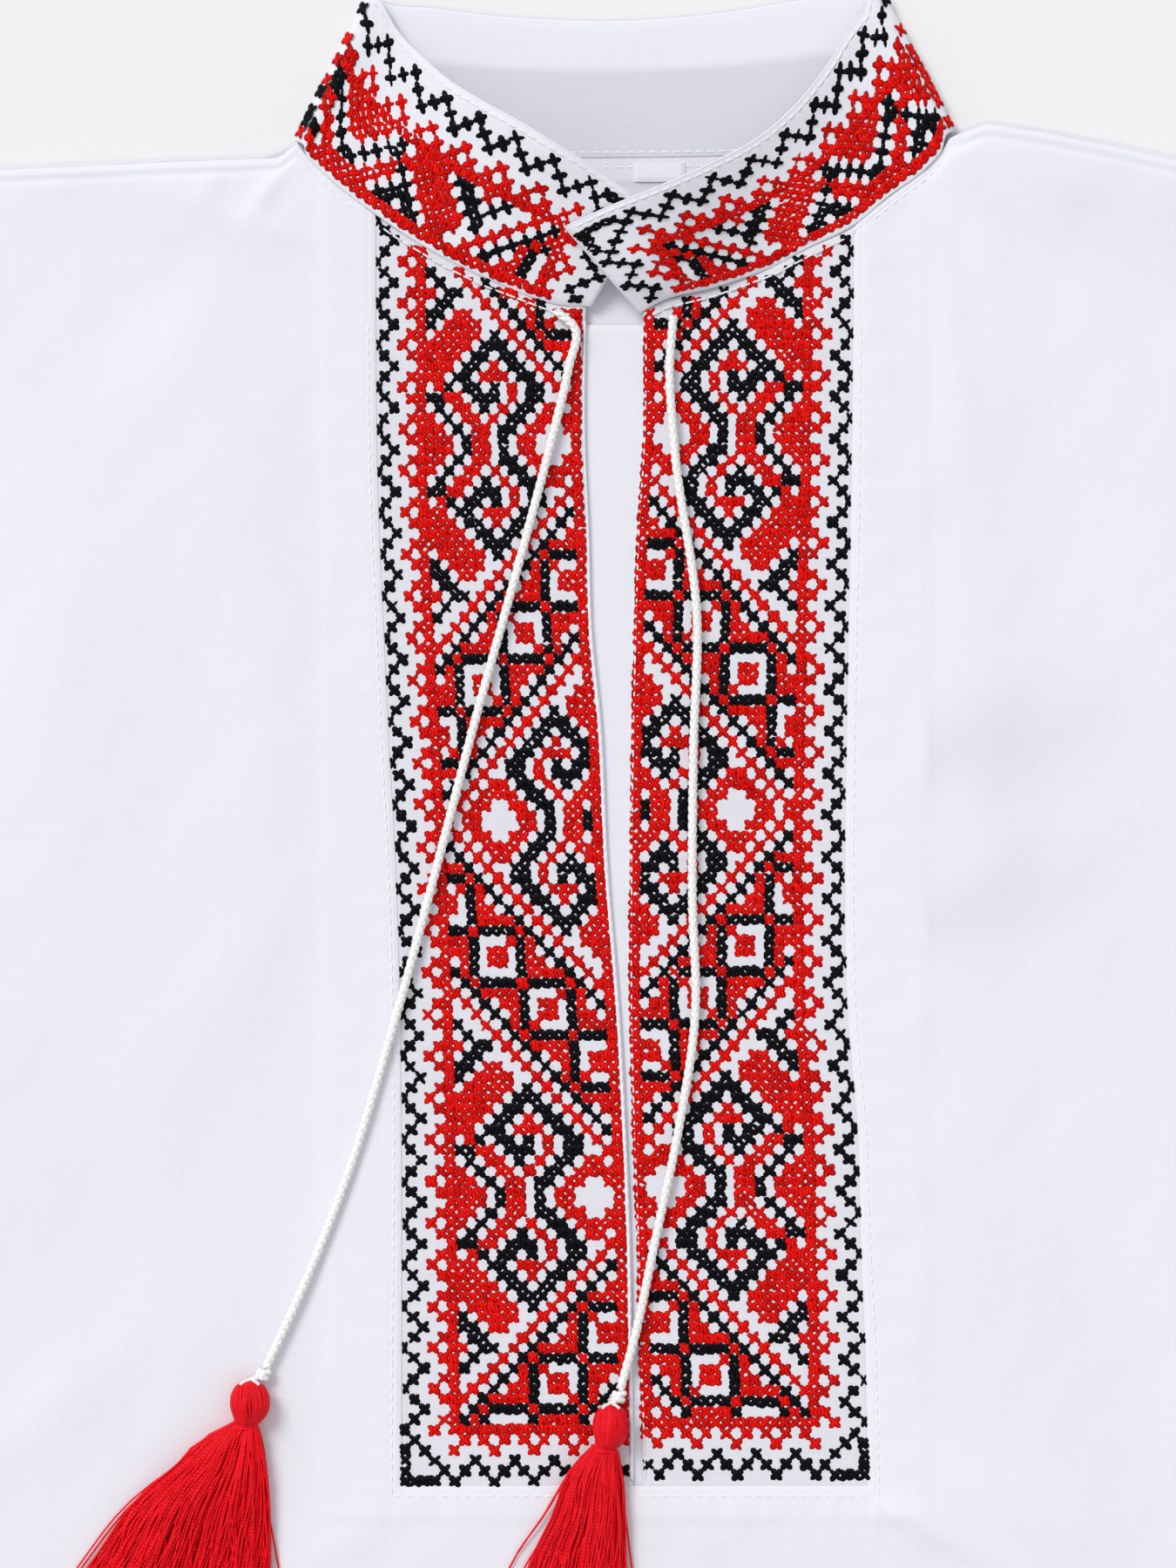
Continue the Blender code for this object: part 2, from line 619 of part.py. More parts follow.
def make_tassel(side, head, skirt):
    """A tassel in one body: a round head, a narrow neck, and strands drawn out of its underside."""
    centre_x, centre_y, half_wide, half_long, half_high = head
    neck_y_at, neck_left, neck_right, neck_depth = skirt[0]
    neck_x = (neck_left + neck_right) / 2.0
    neck_half = (neck_right - neck_left) / 2.0
    floor = float(front_top(neck_x, neck_y_at)) + STRAND_CLEARANCE
    neck_z = floor + neck_depth / 2.0
    head_z = floor + half_high - 0.2
    bm = bmesh.new()

    grid = {}
    for i in range(STRANDS_ACROSS + 1):
        for j in range(STRANDS_DEEP + 1):
            u = 2.0 * i / STRANDS_ACROSS - 1.0
            v = 2.0 * j / STRANDS_DEEP - 1.0
            round_u = u * math.sqrt(1.0 - v * v / 2.0)
            round_v = v * math.sqrt(1.0 - u * u / 2.0)
            place = (neck_x + neck_half * round_u, neck_y_at, neck_z + neck_depth / 2.0 * round_v)
            grid[i, j] = (bm.verts.new([value * MM for value in place]), round_u, round_v)

    rim = [(i, 0) for i in range(STRANDS_ACROSS)]
    rim += [(STRANDS_ACROSS, j) for j in range(STRANDS_DEEP)]
    rim += [(i, STRANDS_DEEP) for i in range(STRANDS_ACROSS, 0, -1)]
    rim += [(0, j) for j in range(STRANDS_DEEP, 0, -1)]
    loop = [grid[key][0] for key in rim]
    for degrees in (-50.0, -20.0, 10.0, 40.0, 65.0):
        angle = math.radians(degrees)
        ring = []
        for key in rim:
            _, u, v = grid[key]
            x = centre_x + half_wide * math.cos(angle) * u
            y = centre_y + half_long * math.sin(angle)
            z = head_z + half_high * math.cos(angle) * v
            ring.append(bm.verts.new((x * MM, y * MM, z * MM)))
        for i, vertex in enumerate(loop):
            j = (i + 1) % len(loop)
            bm.faces.new((vertex, loop[j], ring[j], ring[i]))
        loop = ring
    tip = bm.verts.new((centre_x * MM, (centre_y + half_long) * MM, head_z * MM))
    for i, vertex in enumerate(loop):
        bm.faces.new((vertex, loop[(i + 1) % len(loop)], tip))

    roots = []
    for i in range(STRANDS_ACROSS):
        for j in range(STRANDS_DEEP):
            corners = ((i, j), (i, j + 1), (i + 1, j + 1), (i + 1, j))
            roots.append((i, j, bm.faces.new([grid[key][0] for key in corners])))
    bmesh.ops.recalc_face_normals(bm, faces=bm.faces)

    end_y = skirt[-1][0]
    for i, j, face in roots:
        across = (i + 0.5) / STRANDS_ACROSS
        deep = (j + 0.5) / STRANDS_DEEP
        reach = 1.0 - 0.05 * math.cos(2.4 * i + 1.9 * j) ** 2 - 0.12 * abs(2.0 * across - 1.0) ** 3
        sides = {}
        for di in (0, 1):
            for dj in (0, 1):
                sides[grid[i + di, j + dj][0]] = (2 * di - 1, 2 * dj - 1)
        bmesh.ops.inset_individual(bm, faces=[face], thickness=0.06 * MM)
        sides = drawn_sides(face, sides)
        for step in range(1, STRAND_STEPS + 1):
            share = step / STRAND_STEPS
            y = neck_y_at + (end_y - neck_y_at) * reach * share**1.15
            left = skirt_at(skirt, y, "left")
            right = skirt_at(skirt, y, "right")
            depth = skirt_at(skirt, y, "depth")
            x = left + (right - left) * across
            z = float(front_top(x, y)) + STRAND_CLEARANCE + depth * deep
            wide = min(0.36 * (right - left) / STRANDS_ACROSS, 0.95)
            high = 0.36 * depth / STRANDS_DEEP
            face = bmesh.ops.extrude_discrete_faces(bm, faces=[face])["faces"][0]
            sides = drawn_sides(face, sides)
            for vertex, (side_x, side_z) in sides.items():
                vertex.co = ((x + side_x * wide) * MM, y * MM, (z + side_z * high) * MM)
    mesh_object("tassel_" + side, bm, "tassel")


def main():
    """Clears the scene and makes the pieces, from the ones underneath to the ones on top."""
    for piece in list(bpy.data.objects):
        bpy.data.objects.remove(piece, do_unlink=True)
    make_back()
    make_front()
    make_sleeve("sleeve_left", -1, SHOULDER_Y_LEFT)
    make_sleeve("sleeve_right", 1, SHOULDER_Y_RIGHT)
    make_underlap()
    make_insert("plastron_left", "left_outer", "left_slit")
    make_insert("plastron_right", "right_outer", "right_slit")
    make_tape()
    make_collar()
    make_cord("left", LEFT_CORD, LEFT_HEAD)
    make_cord("right", RIGHT_CORD, RIGHT_HEAD)
    make_tassel("left", LEFT_HEAD, LEFT_SKIRT)
    make_tassel("right", RIGHT_HEAD, RIGHT_SKIRT)


main()
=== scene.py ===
# %% [markdown]
# # An embroidered shirt, laid flat
#
# The shirt is a plain white one whose collar and chest insert are worked in cross-stitch. This
# lesson dresses a plain solid model of it: thin cloth, stitches, cords and tassels. Every size is in
# millimetres until a mesh is made, and a mesh is in metres. The shirt lies on its back: +Z is up, +Y
# runs from the hem to the collar.

import math

import bpy
import numpy as np
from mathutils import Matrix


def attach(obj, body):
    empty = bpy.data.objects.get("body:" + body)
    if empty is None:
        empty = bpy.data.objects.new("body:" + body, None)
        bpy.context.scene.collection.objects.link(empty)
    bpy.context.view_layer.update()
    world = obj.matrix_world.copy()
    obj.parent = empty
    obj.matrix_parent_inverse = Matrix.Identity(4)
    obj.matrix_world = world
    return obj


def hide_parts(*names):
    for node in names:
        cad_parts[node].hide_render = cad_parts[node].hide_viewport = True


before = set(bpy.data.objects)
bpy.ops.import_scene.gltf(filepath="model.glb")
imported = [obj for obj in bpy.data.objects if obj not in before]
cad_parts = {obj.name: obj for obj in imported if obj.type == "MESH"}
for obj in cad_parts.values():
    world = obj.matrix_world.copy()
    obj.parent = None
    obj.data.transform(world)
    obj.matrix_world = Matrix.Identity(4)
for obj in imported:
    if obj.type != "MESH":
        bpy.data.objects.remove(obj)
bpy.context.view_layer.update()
MM = 0.001
print("nodes:", ", ".join(sorted(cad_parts)))

# %% [markdown]
# ## Camera
#
# The shirt is seen from straight above. A long lens from 1.5 m away keeps the collar, which stands
# about 20 mm up, from spreading outward.

# %% Camera
VIEW_CENTRE = (-9.45, 183.45)
VIEW_HEIGHT = 405.0
CAMERA_HEIGHT = 1500.0
CLOTH_LEVEL = 4.0
SENSOR_HEIGHT = 24.0

camera_data = bpy.data.cameras.new("camera")
camera_data.sensor_fit = "VERTICAL"
camera_data.sensor_height = SENSOR_HEIGHT
camera_data.lens = SENSOR_HEIGHT * (CAMERA_HEIGHT - CLOTH_LEVEL) / VIEW_HEIGHT
camera_data.clip_start = 0.01
camera = bpy.data.objects.new("camera", camera_data)
camera.location = (VIEW_CENTRE[0] * MM, VIEW_CENTRE[1] * MM, CAMERA_HEIGHT * MM)
bpy.context.scene.collection.objects.link(camera)
bpy.context.scene.camera = camera
print("lens", round(camera_data.lens, 1), "mm")

# %% [markdown]
# ## Sizes
#
# These tables give the cut of the shirt as it lies. Each row is one section or fold, and the names
# of its columns stand above it.

# %% Sizes
CLOTH = 1.2
COLLAR_CLOTH = 1.6
SEAM = 0.3
HEM_Y = -390.4
HALF_HEM, HALF_WAIST, HALF_CHEST = 290.0, 284.0, 280.0
WAIST_Y = -150.0
SHOULDER_X = 240.0
SHOULDER_Y_LEFT, SHOULDER_Y_RIGHT = 338.0, 325.0
UNDERARM_SHARE = 0.32
SLEEVE_LENGTH = 600.0
SLEEVE_DROP = math.radians(40.0)
WRIST_WIDTH = 130.0
SLEEVE_LOFT = 6.0
INSERT_BOTTOM = 2.3
CHEST_LIFT, CHEST_HALF, CHEST_FADE = 1.5, 90.0, 50.0
UNDERLAP_LEFT, UNDERLAP_RIGHT, UNDERLAP_TOP = -15.0, 13.0, 302.3
NECK_HALF = 85.05
BAND_Z, FOLD_RADIUS, BAND_SLOPE = 3.8, 1.8, 0.4
BAND_LAP = COLLAR_CLOTH + 0.5
CORD_DIAMETER, CORD_CLEARANCE, KNOT_RADIUS = 2.45, 0.35, 1.7
STRAND_CLEARANCE = 0.7

# columns: share of the way from the underarm to the shoulder, half the body's width
ARMHOLE = np.array([
    (0.00, 280.0), (0.06, 264.0), (0.16, 247.0), (0.30, 234.0),
    (0.50, 226.0), (0.75, 228.0), (1.00, 240.0),
])

# columns: y, left half's outer edge, left half's slit edge, right half's slit edge, outer edge
INSERT = np.array([
    (2.3, -57.4, 2.3, 4.7, 62.8), (36.3, -57.4, 1.9, 3.6, 62.1),
    (64.2, -57.4, 1.5, 2.9, 61.0), (94.8, -57.5, 0.3, 1.8, 60.1),
    (123.4, -57.8, -1.2, 1.1, 57.6), (162.1, -59.0, -4.3, 1.1, 56.9),
    (199.2, -61.0, -6.1, 1.6, 57.4), (224.0, -62.1, -8.5, 2.2, 57.8),
    (247.1, -63.2, -9.2, 2.9, 58.3), (273.5, -63.9, -10.3, 4.5, 58.7),
    (302.3, -64.1, -10.1, 4.8, 59.0), (330.0, -64.1, -9.0, 4.8, 59.2),
])
LEFT_OUTER, LEFT_SLIT, RIGHT_SLIT, RIGHT_OUTER = 1, 2, 3, 4
HALVES = {"left": (LEFT_OUTER, LEFT_SLIT), "right": (RIGHT_OUTER, RIGHT_SLIT)}

# columns: x, y of the shoulder seam
SHOULDER_LEFT = np.array([
    (-240.0, 338.0), (-161.3, 342.3), (-120.0, 344.2), (-89.1, 345.2), (-85.6, 348.4),
])
SHOULDER_RIGHT = np.array([
    (86.0, 351.2), (93.8, 354.2), (108.9, 351.8), (129.2, 347.9), (142.4, 344.8), (240.0, 325.0),
])

# columns: x, y of the seam across the back of the neck
BACK_NECK = np.array([
    (-83.4, 348.2), (-60.0, 345.8), (-26.0, 344.9), (0.0, 344.9),
    (26.0, 345.3), (60.0, 347.1), (84.0, 350.8),
])

# columns: lower x, lower y, upper x, upper y of one section of the collar
LEFT_BAND = np.array([
    (-8.3, 306.8, 6.3, 331.3), (-17.3, 307.2, -5.2, 339.6),
    (-36.9, 314.6, -19.6, 348.4), (-47.0, 319.6, -26.8, 352.9),
    (-58.95, 326.8, -36.9, 358.95), (-65.9, 331.7, -44.3, 363.9),
    (-74.5, 338.25, -52.0, 370.9), (-82.1, 345.7, -58.95, 378.5),
])
LEFT_FOLD = np.array((-85.05, 349.7, -65.9, 387.75))
BACK_BAND = np.array([
    (-60.0, 346.35, -48.8, 384.6), (-26.3, 345.45, -26.3, 382.1), (0.0, 345.45, 0.0, 381.45),
    (26.3, 345.9, 23.2, 383.25), (60.0, 347.7, 45.7, 386.85),
])
RIGHT_FOLD = np.array((85.05, 352.2, 65.5, 390.0))
RIGHT_BAND = np.array([
    (81.7, 346.6, 61.9, 383.0), (78.3, 342.75, 58.7, 379.2),
    (68.4, 335.3, 52.4, 369.1), (58.3, 327.2, 43.2, 357.4),
    (48.15, 322.3, 33.3, 348.8), (38.25, 317.1, 20.7, 341.85),
    (23.2, 311.7, 7.4, 336.0), (10.35, 308.55, -5.2, 331.05), (3.6, 304.95, -16.0, 326.3),
])

# columns: x, y, degrees of the crest, half length, half width, height
FOLDS = np.array([
    (-150.0, 205.0, 80.0, 110.0, 26.0, 2.0), (140.0, 215.0, 100.0, 110.0, 26.0, 2.4),
    (-190.0, 60.0, 70.0, 120.0, 28.0, 2.2), (195.0, 40.0, 112.0, 120.0, 28.0, 2.2),
    (-60.0, -190.0, 84.0, 120.0, 26.0, 3.4), (70.0, -230.0, 98.0, 120.0, 28.0, 3.8),
    (-185.0, -240.0, 78.0, 110.0, 26.0, 3.2), (190.0, -220.0, 104.0, 120.0, 26.0, 3.0),
])

# The same columns for the small creases, which only the thin cloth shows
CREASES = np.array([
    (-92.8, 336.0, 55.0, 13.0, 2.3, 0.9), (-91.5, 327.0, -28.0, 12.0, 2.6, 0.7),
    (-107.0, 338.5, 58.0, 12.0, 3.0, 0.5), (-104.0, 330.0, 150.0, 26.0, 5.0, 0.7),
    (96.0, 338.0, -40.0, 34.0, 5.0, 0.9), (73.0, -6.5, -31.0, 26.0, 2.2, 0.9),
    (92.0, 326.0, -66.0, 40.0, 6.0, 0.9), (110.0, 341.0, -22.0, 36.0, 6.0, 0.7),
    (84.0, 300.0, -84.0, 60.0, 5.0, 0.7), (86.0, -12.0, -32.0, 40.0, 5.0, 1.2),
    (100.0, -4.0, -24.0, 44.0, 8.0, 0.8), (-74.0, -14.0, 215.0, 30.0, 6.0, 0.5),
    (-110.0, 120.0, 62.0, 60.0, 12.0, 0.8), (120.0, 110.0, 116.0, 70.0, 13.0, 0.9),
    (-120.0, 290.0, 48.0, 46.0, 12.0, 0.7), (128.0, 285.0, 130.0, 56.0, 12.0, 0.9),
    (92.0, 190.0, 92.0, 80.0, 11.0, 1.3), (-92.0, 180.0, 88.0, 120.0, 12.0, 0.8),
    (-120.0, -120.0, 70.0, 90.0, 8.0, 1.3), (30.0, -150.0, 100.0, 100.0, 9.0, 1.5),
    (160.0, -110.0, 120.0, 90.0, 8.0, 1.3), (-215.0, -300.0, 60.0, 80.0, 9.0, 1.2),
    (-30.0, -310.0, 85.0, 80.0, 10.0, 1.5), (125.0, -320.0, 105.0, 70.0, 9.0, 1.4),
    (235.0, -230.0, 95.0, 90.0, 9.0, 1.2), (-245.0, -60.0, 75.0, 80.0, 8.0, 1.0),
    (205.0, 150.0, 58.0, 70.0, 8.0, 1.1), (-205.0, 160.0, 118.0, 70.0, 8.0, 1.1),
    (-195.0, 295.0, 22.0, 42.0, 7.0, 0.8), (190.0, 280.0, 158.0, 42.0, 7.0, 0.8),
    (60.0, -60.0, 150.0, 60.0, 9.0, 0.8), (-150.0, 20.0, 40.0, 60.0, 9.0, 0.8),
])

# The same columns for broad greyer places on the single cloth, painted shade that stands in for the shading
# of shallow folds: the last column is the share of its light that it loses
PAINTED_SHADES = np.array([
    (88.0, 193.0, 14.0, 62.0, 13.0, 0.075), (88.0, 150.0, 22.0, 52.0, 10.0, 0.07),
    (96.0, 262.0, 84.0, 70.0, 12.0, 0.035), (132.0, 330.0, -24.0, 64.0, 15.0, 0.035),
    (112.0, 170.0, 80.0, 90.0, 26.0, 0.020), (-100.0, 250.0, 62.0, 90.0, 20.0, 0.020),
    (-112.0, 325.0, -14.0, 60.0, 14.0, 0.030), (-118.0, 110.0, 74.0, 110.0, 26.0, 0.026),
    (-104.0, 24.0, 50.0, 90.0, 26.0, 0.030), (20.0, -14.0, 2.0, 120.0, 11.0, 0.030),
    (120.0, 20.0, 110.0, 80.0, 24.0, 0.016), (-93.0, 180.0, 86.0, 170.0, 16.0, 0.022),
    (90.0, 60.0, 86.0, 90.0, 14.0, 0.020),
])
print("insert rows:", len(INSERT), "folds:", len(FOLDS) + len(CREASES))

# %% [markdown]
# ## Shape of the cloth
#
# The front lies on the back along its side seams, and is lifted a little where the chest is doubled
# and wherever it has a soft fold. One height function serves every layer, so nothing that lies on
# the front can sink into it.


# %% Shape of the cloth
def smooth(share):
    """A rise from 0 to 1 that starts and ends level: three times the square less twice the cube."""
    share = np.clip(share, 0.0, 1.0)
    return share * share * (3.0 - 2.0 * share)


def between(start, end, share):
    """What lies that share of the way from start to end."""
    return start * (1.0 - share) + end * share


def running_length(points):
    """The length along a path up to each of its points, from zero."""
    return np.concatenate([[0.0], np.cumsum(np.linalg.norm(np.diff(points, axis=0), axis=1))])


def hermite(keys, values, at):
    """A smooth curve through a table: cubics between rows, whose slopes agree where they meet."""
    order = np.argsort(keys)
    keys, values = np.asarray(keys)[order], np.asarray(values)[order]
    slopes = np.gradient(values, keys, axis=0)
    cell = np.clip(np.searchsorted(keys, at, side="right") - 1, 0, len(keys) - 2)
    wide = keys[cell + 1] - keys[cell]
    t = np.clip((at - keys[cell]) / wide, 0.0, 1.0)
    for _ in range(values.ndim - 1):
        t, wide = t[..., None], wide[..., None]
    start = (2 * t**3 - 3 * t**2 + 1) * values[cell] + (t**3 - 2 * t**2 + t) * wide * slopes[cell]
    end = (3 * t**2 - 2 * t**3) * values[cell + 1] + (t**3 - t**2) * wide * slopes[cell + 1]
    return start + end


def crest_lift(x, y, table):
    """Folds' height: each is a bell across its crest and fades out smoothly along it."""
    angle = np.radians(table[:, 2])
    dx, dy = x[..., None] - table[:, 0], y[..., None] - table[:, 1]
    along = dx * np.cos(angle) + dy * np.sin(angle)
    across = dy * np.cos(angle) - dx * np.sin(angle)
    bell = np.exp(-((across / table[:, 4]) ** 2))
    return (table[:, 5] * bell * (1.0 - smooth(np.abs(along) / table[:, 3]))).sum(axis=-1)


def front_under(x, y):
    """Underside of the front: the back's thickness, a seam's gap, the chest's lift and the folds."""
    x, y = np.broadcast_arrays(np.asarray(x, float), np.asarray(y, float))
    beside = np.maximum(np.abs(x) - CHEST_HALF, 0.0)
    below = np.maximum(-5.0 - y, 0.0)
    lift = CHEST_LIFT * (1.0 - smooth(np.hypot(beside, below) / CHEST_FADE))
    return CLOTH + SEAM + lift + crest_lift(x, y, FOLDS)


def front_top(x, y):
    """Upper side of the front, where everything else on it lies."""
    return front_under(x, y) + CLOTH


def neck_y(x):
    """The seam between the collar and the front, from one side of the neck to the other."""
    rows = np.vstack([LEFT_BAND, RIGHT_BAND, LEFT_FOLD[None], RIGHT_FOLD[None]])
    order = np.argsort(rows[:, 0])
    return np.interp(x, rows[order, 0], rows[order, 1])


def neck_edge(x):
    """The cut edge below that seam, lowered by the seam's gap."""
    slope = neck_y(x + 0.5) - neck_y(x - 0.5)
    return neck_y(x) - 0.08 * np.sqrt(1.0 + slope * slope)


def insert_edge(y, column):
    """One edge of the insert's two halves at a height."""
    return hermite(INSERT[:, 0], INSERT[:, column], y)


def armhole_width(share):
    """Half the body's width at a share of the way up the armhole."""
    return hermite(ARMHOLE[:, 0], ARMHOLE[:, 1], share)


def half_width(y, share):
    """Half the body's width: the side seam below the underarm, the armhole above it."""
    seam = np.interp(y, (HEM_Y, WAIST_Y, INSERT_BOTTOM), (HALF_HEM, HALF_WAIST, HALF_CHEST))
    up = (share - UNDERARM_SHARE) / (1.0 - UNDERARM_SHARE)
    return np.where(share > UNDERARM_SHARE, armhole_width(np.maximum(up, 0.0)), seam)


print("front top at the chest:", round(float(front_top(0.0, 150.0)), 2), "mm")

# %% [markdown]
# ## Meshes from arrays
#
# A surface here is a grid of points, rows by columns, worked out all at once. Its faces are the
# grid's cells. A tube is such a grid whose columns close into a ring round a path.


# %% Meshes from arrays
def grid_faces(rows, cols, ring=False):
    """Four-cornered faces of a grid, closed across its columns when it is a ring."""
    i = np.arange(rows - 1)[:, None]
    j = np.arange(cols if ring else cols - 1)[None, :]
    k = (j + 1) % cols
    corners = (i * cols + j, i * cols + k, (i + 1) * cols + k, (i + 1) * cols + j)
    return np.stack(np.broadcast_arrays(*corners), axis=-1).reshape(-1, 4)


def new_piece(name, points, faces, material, uv=None, tone_and_painted_shade=None):
    """A mesh object in metres from points in millimetres. uv and tone have one value a point."""
    points = np.asarray(points, dtype=float).reshape(-1, 3)
    faces = np.asarray(faces).reshape(-1, 4)
    used, faces = np.unique(faces, return_inverse=True)
    faces = faces.reshape(-1, 4)
    mesh = bpy.data.meshes.new(name)
    mesh.vertices.add(len(used))
    mesh.vertices.foreach_set("co", (points[used] * MM).ravel())
    mesh.loops.add(faces.size)
    mesh.loops.foreach_set("vertex_index", faces.ravel())
    mesh.polygons.add(len(faces))
    mesh.polygons.foreach_set("loop_start", np.arange(0, faces.size, 4))
    mesh.polygons.foreach_set("use_smooth", np.ones(len(faces), dtype=bool))
    mesh.update(calc_edges=True)
    if uv is not None:
        layer = mesh.uv_layers.new(name="thread")
        layer.data.foreach_set("uv", np.asarray(uv).reshape(-1, 2)[used][faces.ravel()].ravel())
    if tone_and_painted_shade is not None:
        layer = mesh.attributes.new("tone_and_painted_shade", "FLOAT", "POINT")
        layer.data.foreach_set("value", np.asarray(tone_and_painted_shade, dtype=float).ravel()[used])
    mesh.materials.append(material)
    piece = bpy.data.objects.new(name, mesh)
    bpy.context.scene.collection.objects.link(piece)
    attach(piece, "root")
    return piece


def give_wall(piece, thick, offset, node=None):
    """Solidify gives a surface its thickness: below it at an offset of -1, to both sides at 0."""
    wall = piece.modifiers.new("thickness", "SOLIDIFY")
    wall.thickness = thick * MM
    wall.offset = offset
    if node:
        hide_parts(node)
    return piece


PHASES = np.random.default_rng(3).uniform(0.0, 1.0, 4000)


def unit(vectors):
    """Vectors scaled to a length of one."""
    return vectors / np.maximum(np.linalg.norm(vectors, axis=-1, keepdims=True), 1e-9)


def columns(*parts):
    """Points from their x, y and z, each an array or one number for all."""
    return np.stack(np.broadcast_arrays(*parts), axis=-1)


def tubes(paths, radius, sides):
    """Tubes round many paths at once: a ring of sides at each point, square to the path there."""
    paths = np.asarray(paths, dtype=float)
    ahead = unit(np.gradient(paths, axis=1))
    beside = unit(np.cross(ahead, (0.0, 0.0, 1.0)) + 1e-6)
    above = np.cross(beside, ahead)
    angle = np.arange(sides) * 2.0 * math.pi / sides
    radius = np.broadcast_to(radius, paths.shape[:2])[..., None, None]
    ring = beside[:, :, None] * np.cos(angle)[:, None] + above[:, :, None] * np.sin(angle)[:, None]
    points = paths[:, :, None] + radius * ring
    count, steps = paths.shape[:2]
    one = grid_faces(steps, sides, ring=True)
    faces = one[None] + (np.arange(count) * steps * sides)[:, None, None]
    share = np.broadcast_to(np.linspace(0.0, 1.0, steps)[None, :, None], points.shape[:3])
    share = share + PHASES[:count, None, None]
    around = np.broadcast_to((np.arange(sides) / sides)[None, None, :], points.shape[:3])
    return points.reshape(-1, 3), faces.reshape(-1, 4), np.stack([share, around], axis=-1).reshape(-1, 2)


def even_path(points, count):
    """A smooth curve through points with even steps, made from cubics along the chords' length."""
    points = np.asarray(points, dtype=float)
    at = running_length(points)
    curve = hermite(at, points, np.linspace(0.0, at[-1], 12 * count))
    length = running_length(curve)
    even = np.linspace(0.0, length[-1], count)
    return np.stack([np.interp(even, length, curve[:, k]) for k in range(points.shape[1])], axis=1)


rng = np.random.default_rng(7)
print("a grid of 3 by 4 points has", len(grid_faces(3, 4)), "faces")

# %% [markdown]
# ## Cloth and thread materials
#
# Plain weave is two sets of threads at right angles, and each thread is a little thick and thin
# along its length. Both sets are read from the object's own coordinates, so that they stay with the
# cloth. Embroidery floss is glossier than the cloth: it is mercerised cotton, and light runs along it.


# %% Cloth and thread materials
def add_node(tree, kind, links=None, **settings):
    """A shader node. Settings are its own properties, and links set its inputs to values or sockets."""
    made = tree.nodes.new(kind)
    for key, value in settings.items():
        setattr(made, key, value)
    for key, value in (links or {}).items():
        if isinstance(value, bpy.types.NodeSocket):
            tree.links.new(value, made.inputs[key])
        else:
            made.inputs[key].default_value = value
    return made


def math_node(tree, operation, *values):
    """What a shader Math node puts out, from values or sockets."""
    return add_node(tree, "ShaderNodeMath", dict(enumerate(values)), operation=operation).outputs[0]


def start_group(name, number, outputs):
    """A shader node group with one named number as its input, and named numbers as its outputs."""
    group = bpy.data.node_groups.new(name, "ShaderNodeTree")
    group.interface.new_socket(number, in_out="INPUT", socket_type="NodeSocketFloat")
    for output in outputs:
        group.interface.new_socket(output, in_out="OUTPUT", socket_type="NodeSocketFloat")
    start, end = group.nodes.new("NodeGroupInput"), group.nodes.new("NodeGroupOutput")
    return group, start.outputs[number], end.inputs


def weave_group():
    """Weave: ribs both ways, thick and thin, from noise drawn out along X and along Y."""
    group, pitch, end = start_group("weave", "Pitch", ("Height", "Slub"))
    place = add_node(group, "ShaderNodeTexCoord").outputs["Object"]
    ribs, slubs = [], []
    for axis, stretch in (("X", (1.0, 0.06, 1.0)), ("Y", (0.06, 1.0, 1.0))):
        split = add_node(group, "ShaderNodeSeparateXYZ", {0: place})
        turns = math_node(group, "DIVIDE", split.outputs[axis], pitch)
        ribs.append(math_node(group, "SINE", math_node(group, "MULTIPLY", turns, 2.0 * math.pi)))
        drawn = add_node(group, "ShaderNodeVectorMath", {0: place, 1: stretch}, operation="MULTIPLY")
        source = {"Vector": drawn.outputs[0], "Scale": 1500.0, "Detail": 2.0}
        slubs.append(add_node(group, "ShaderNodeTexNoise", source).outputs["Fac"])
    rib, slub = math_node(group, "MULTIPLY", *ribs), math_node(group, "ADD", *slubs)
    group.links.new(math_node(group, "MULTIPLY_ADD", rib, 0.25, slub), end["Height"])
    group.links.new(math_node(group, "MULTIPLY", slub, 0.5), end["Slub"])
    return group


def start_material(name, roughness, sheen=0.0):
    """A material with its own shader, whose constants are set on the shader itself."""
    made = bpy.data.materials.new(name)
    made.use_nodes = True
    shader = made.node_tree.nodes["Principled BSDF"]
    shader.inputs["Roughness"].default_value = roughness
    shader.inputs["Specular IOR Level"].default_value = 0.3
    shader.inputs["Sheen Weight"].default_value = sheen
    shader.inputs["Sheen Roughness"].default_value = 0.5
    return made, made.node_tree, shader


def paint(tree, shader, colour, dark, mask, painted_shade_and_tone_loss, bump):
    """Two colours mixed by a mask, less a share of their light where the tone is one, and a bump."""
    ends = {0: mask, 6: (*dark, 1.0), 7: (*colour, 1.0)}
    tint = add_node(tree, "ShaderNodeMix", ends, data_type="RGBA").outputs[2]
    tone_and_painted_shade = add_node(tree, "ShaderNodeAttribute", attribute_name="tone_and_painted_shade").outputs["Fac"]
    lit = math_node(tree, "MULTIPLY_ADD", tone_and_painted_shade, -painted_shade_and_tone_loss, 1.0)
    final = add_node(tree, "ShaderNodeVectorMath", {0: tint, "Scale": lit}, operation="SCALE")
    tree.links.new(final.outputs[0], shader.inputs["Base Color"])
    normal = add_node(tree, "ShaderNodeBump", dict(zip(("Height", "Strength", "Distance"), bump)))
    tree.links.new(normal.outputs[0], shader.inputs["Normal"])


WEAVE = weave_group()
WEAVE_PITCH = 0.0005


def cloth_material(name, colour, dark, depth, shaded=0.0):
    """Woven cloth: a colour that varies with the threads, painted shade and even darkening by the share
    shaded where a piece marks them, and the weave as a fine bump.
    """
    made, tree, shader = start_material(name, 0.92, 0.15)
    weave = add_node(tree, "ShaderNodeGroup", {"Pitch": WEAVE_PITCH}, node_tree=WEAVE).outputs
    slub = add_node(tree, "ShaderNodeMapRange", {0: weave["Slub"], 1: 0.35, 2: 0.65}).outputs[0]
    paint(tree, shader, colour, dark, slub, shaded, (weave["Height"], depth, 0.00012))
    return made


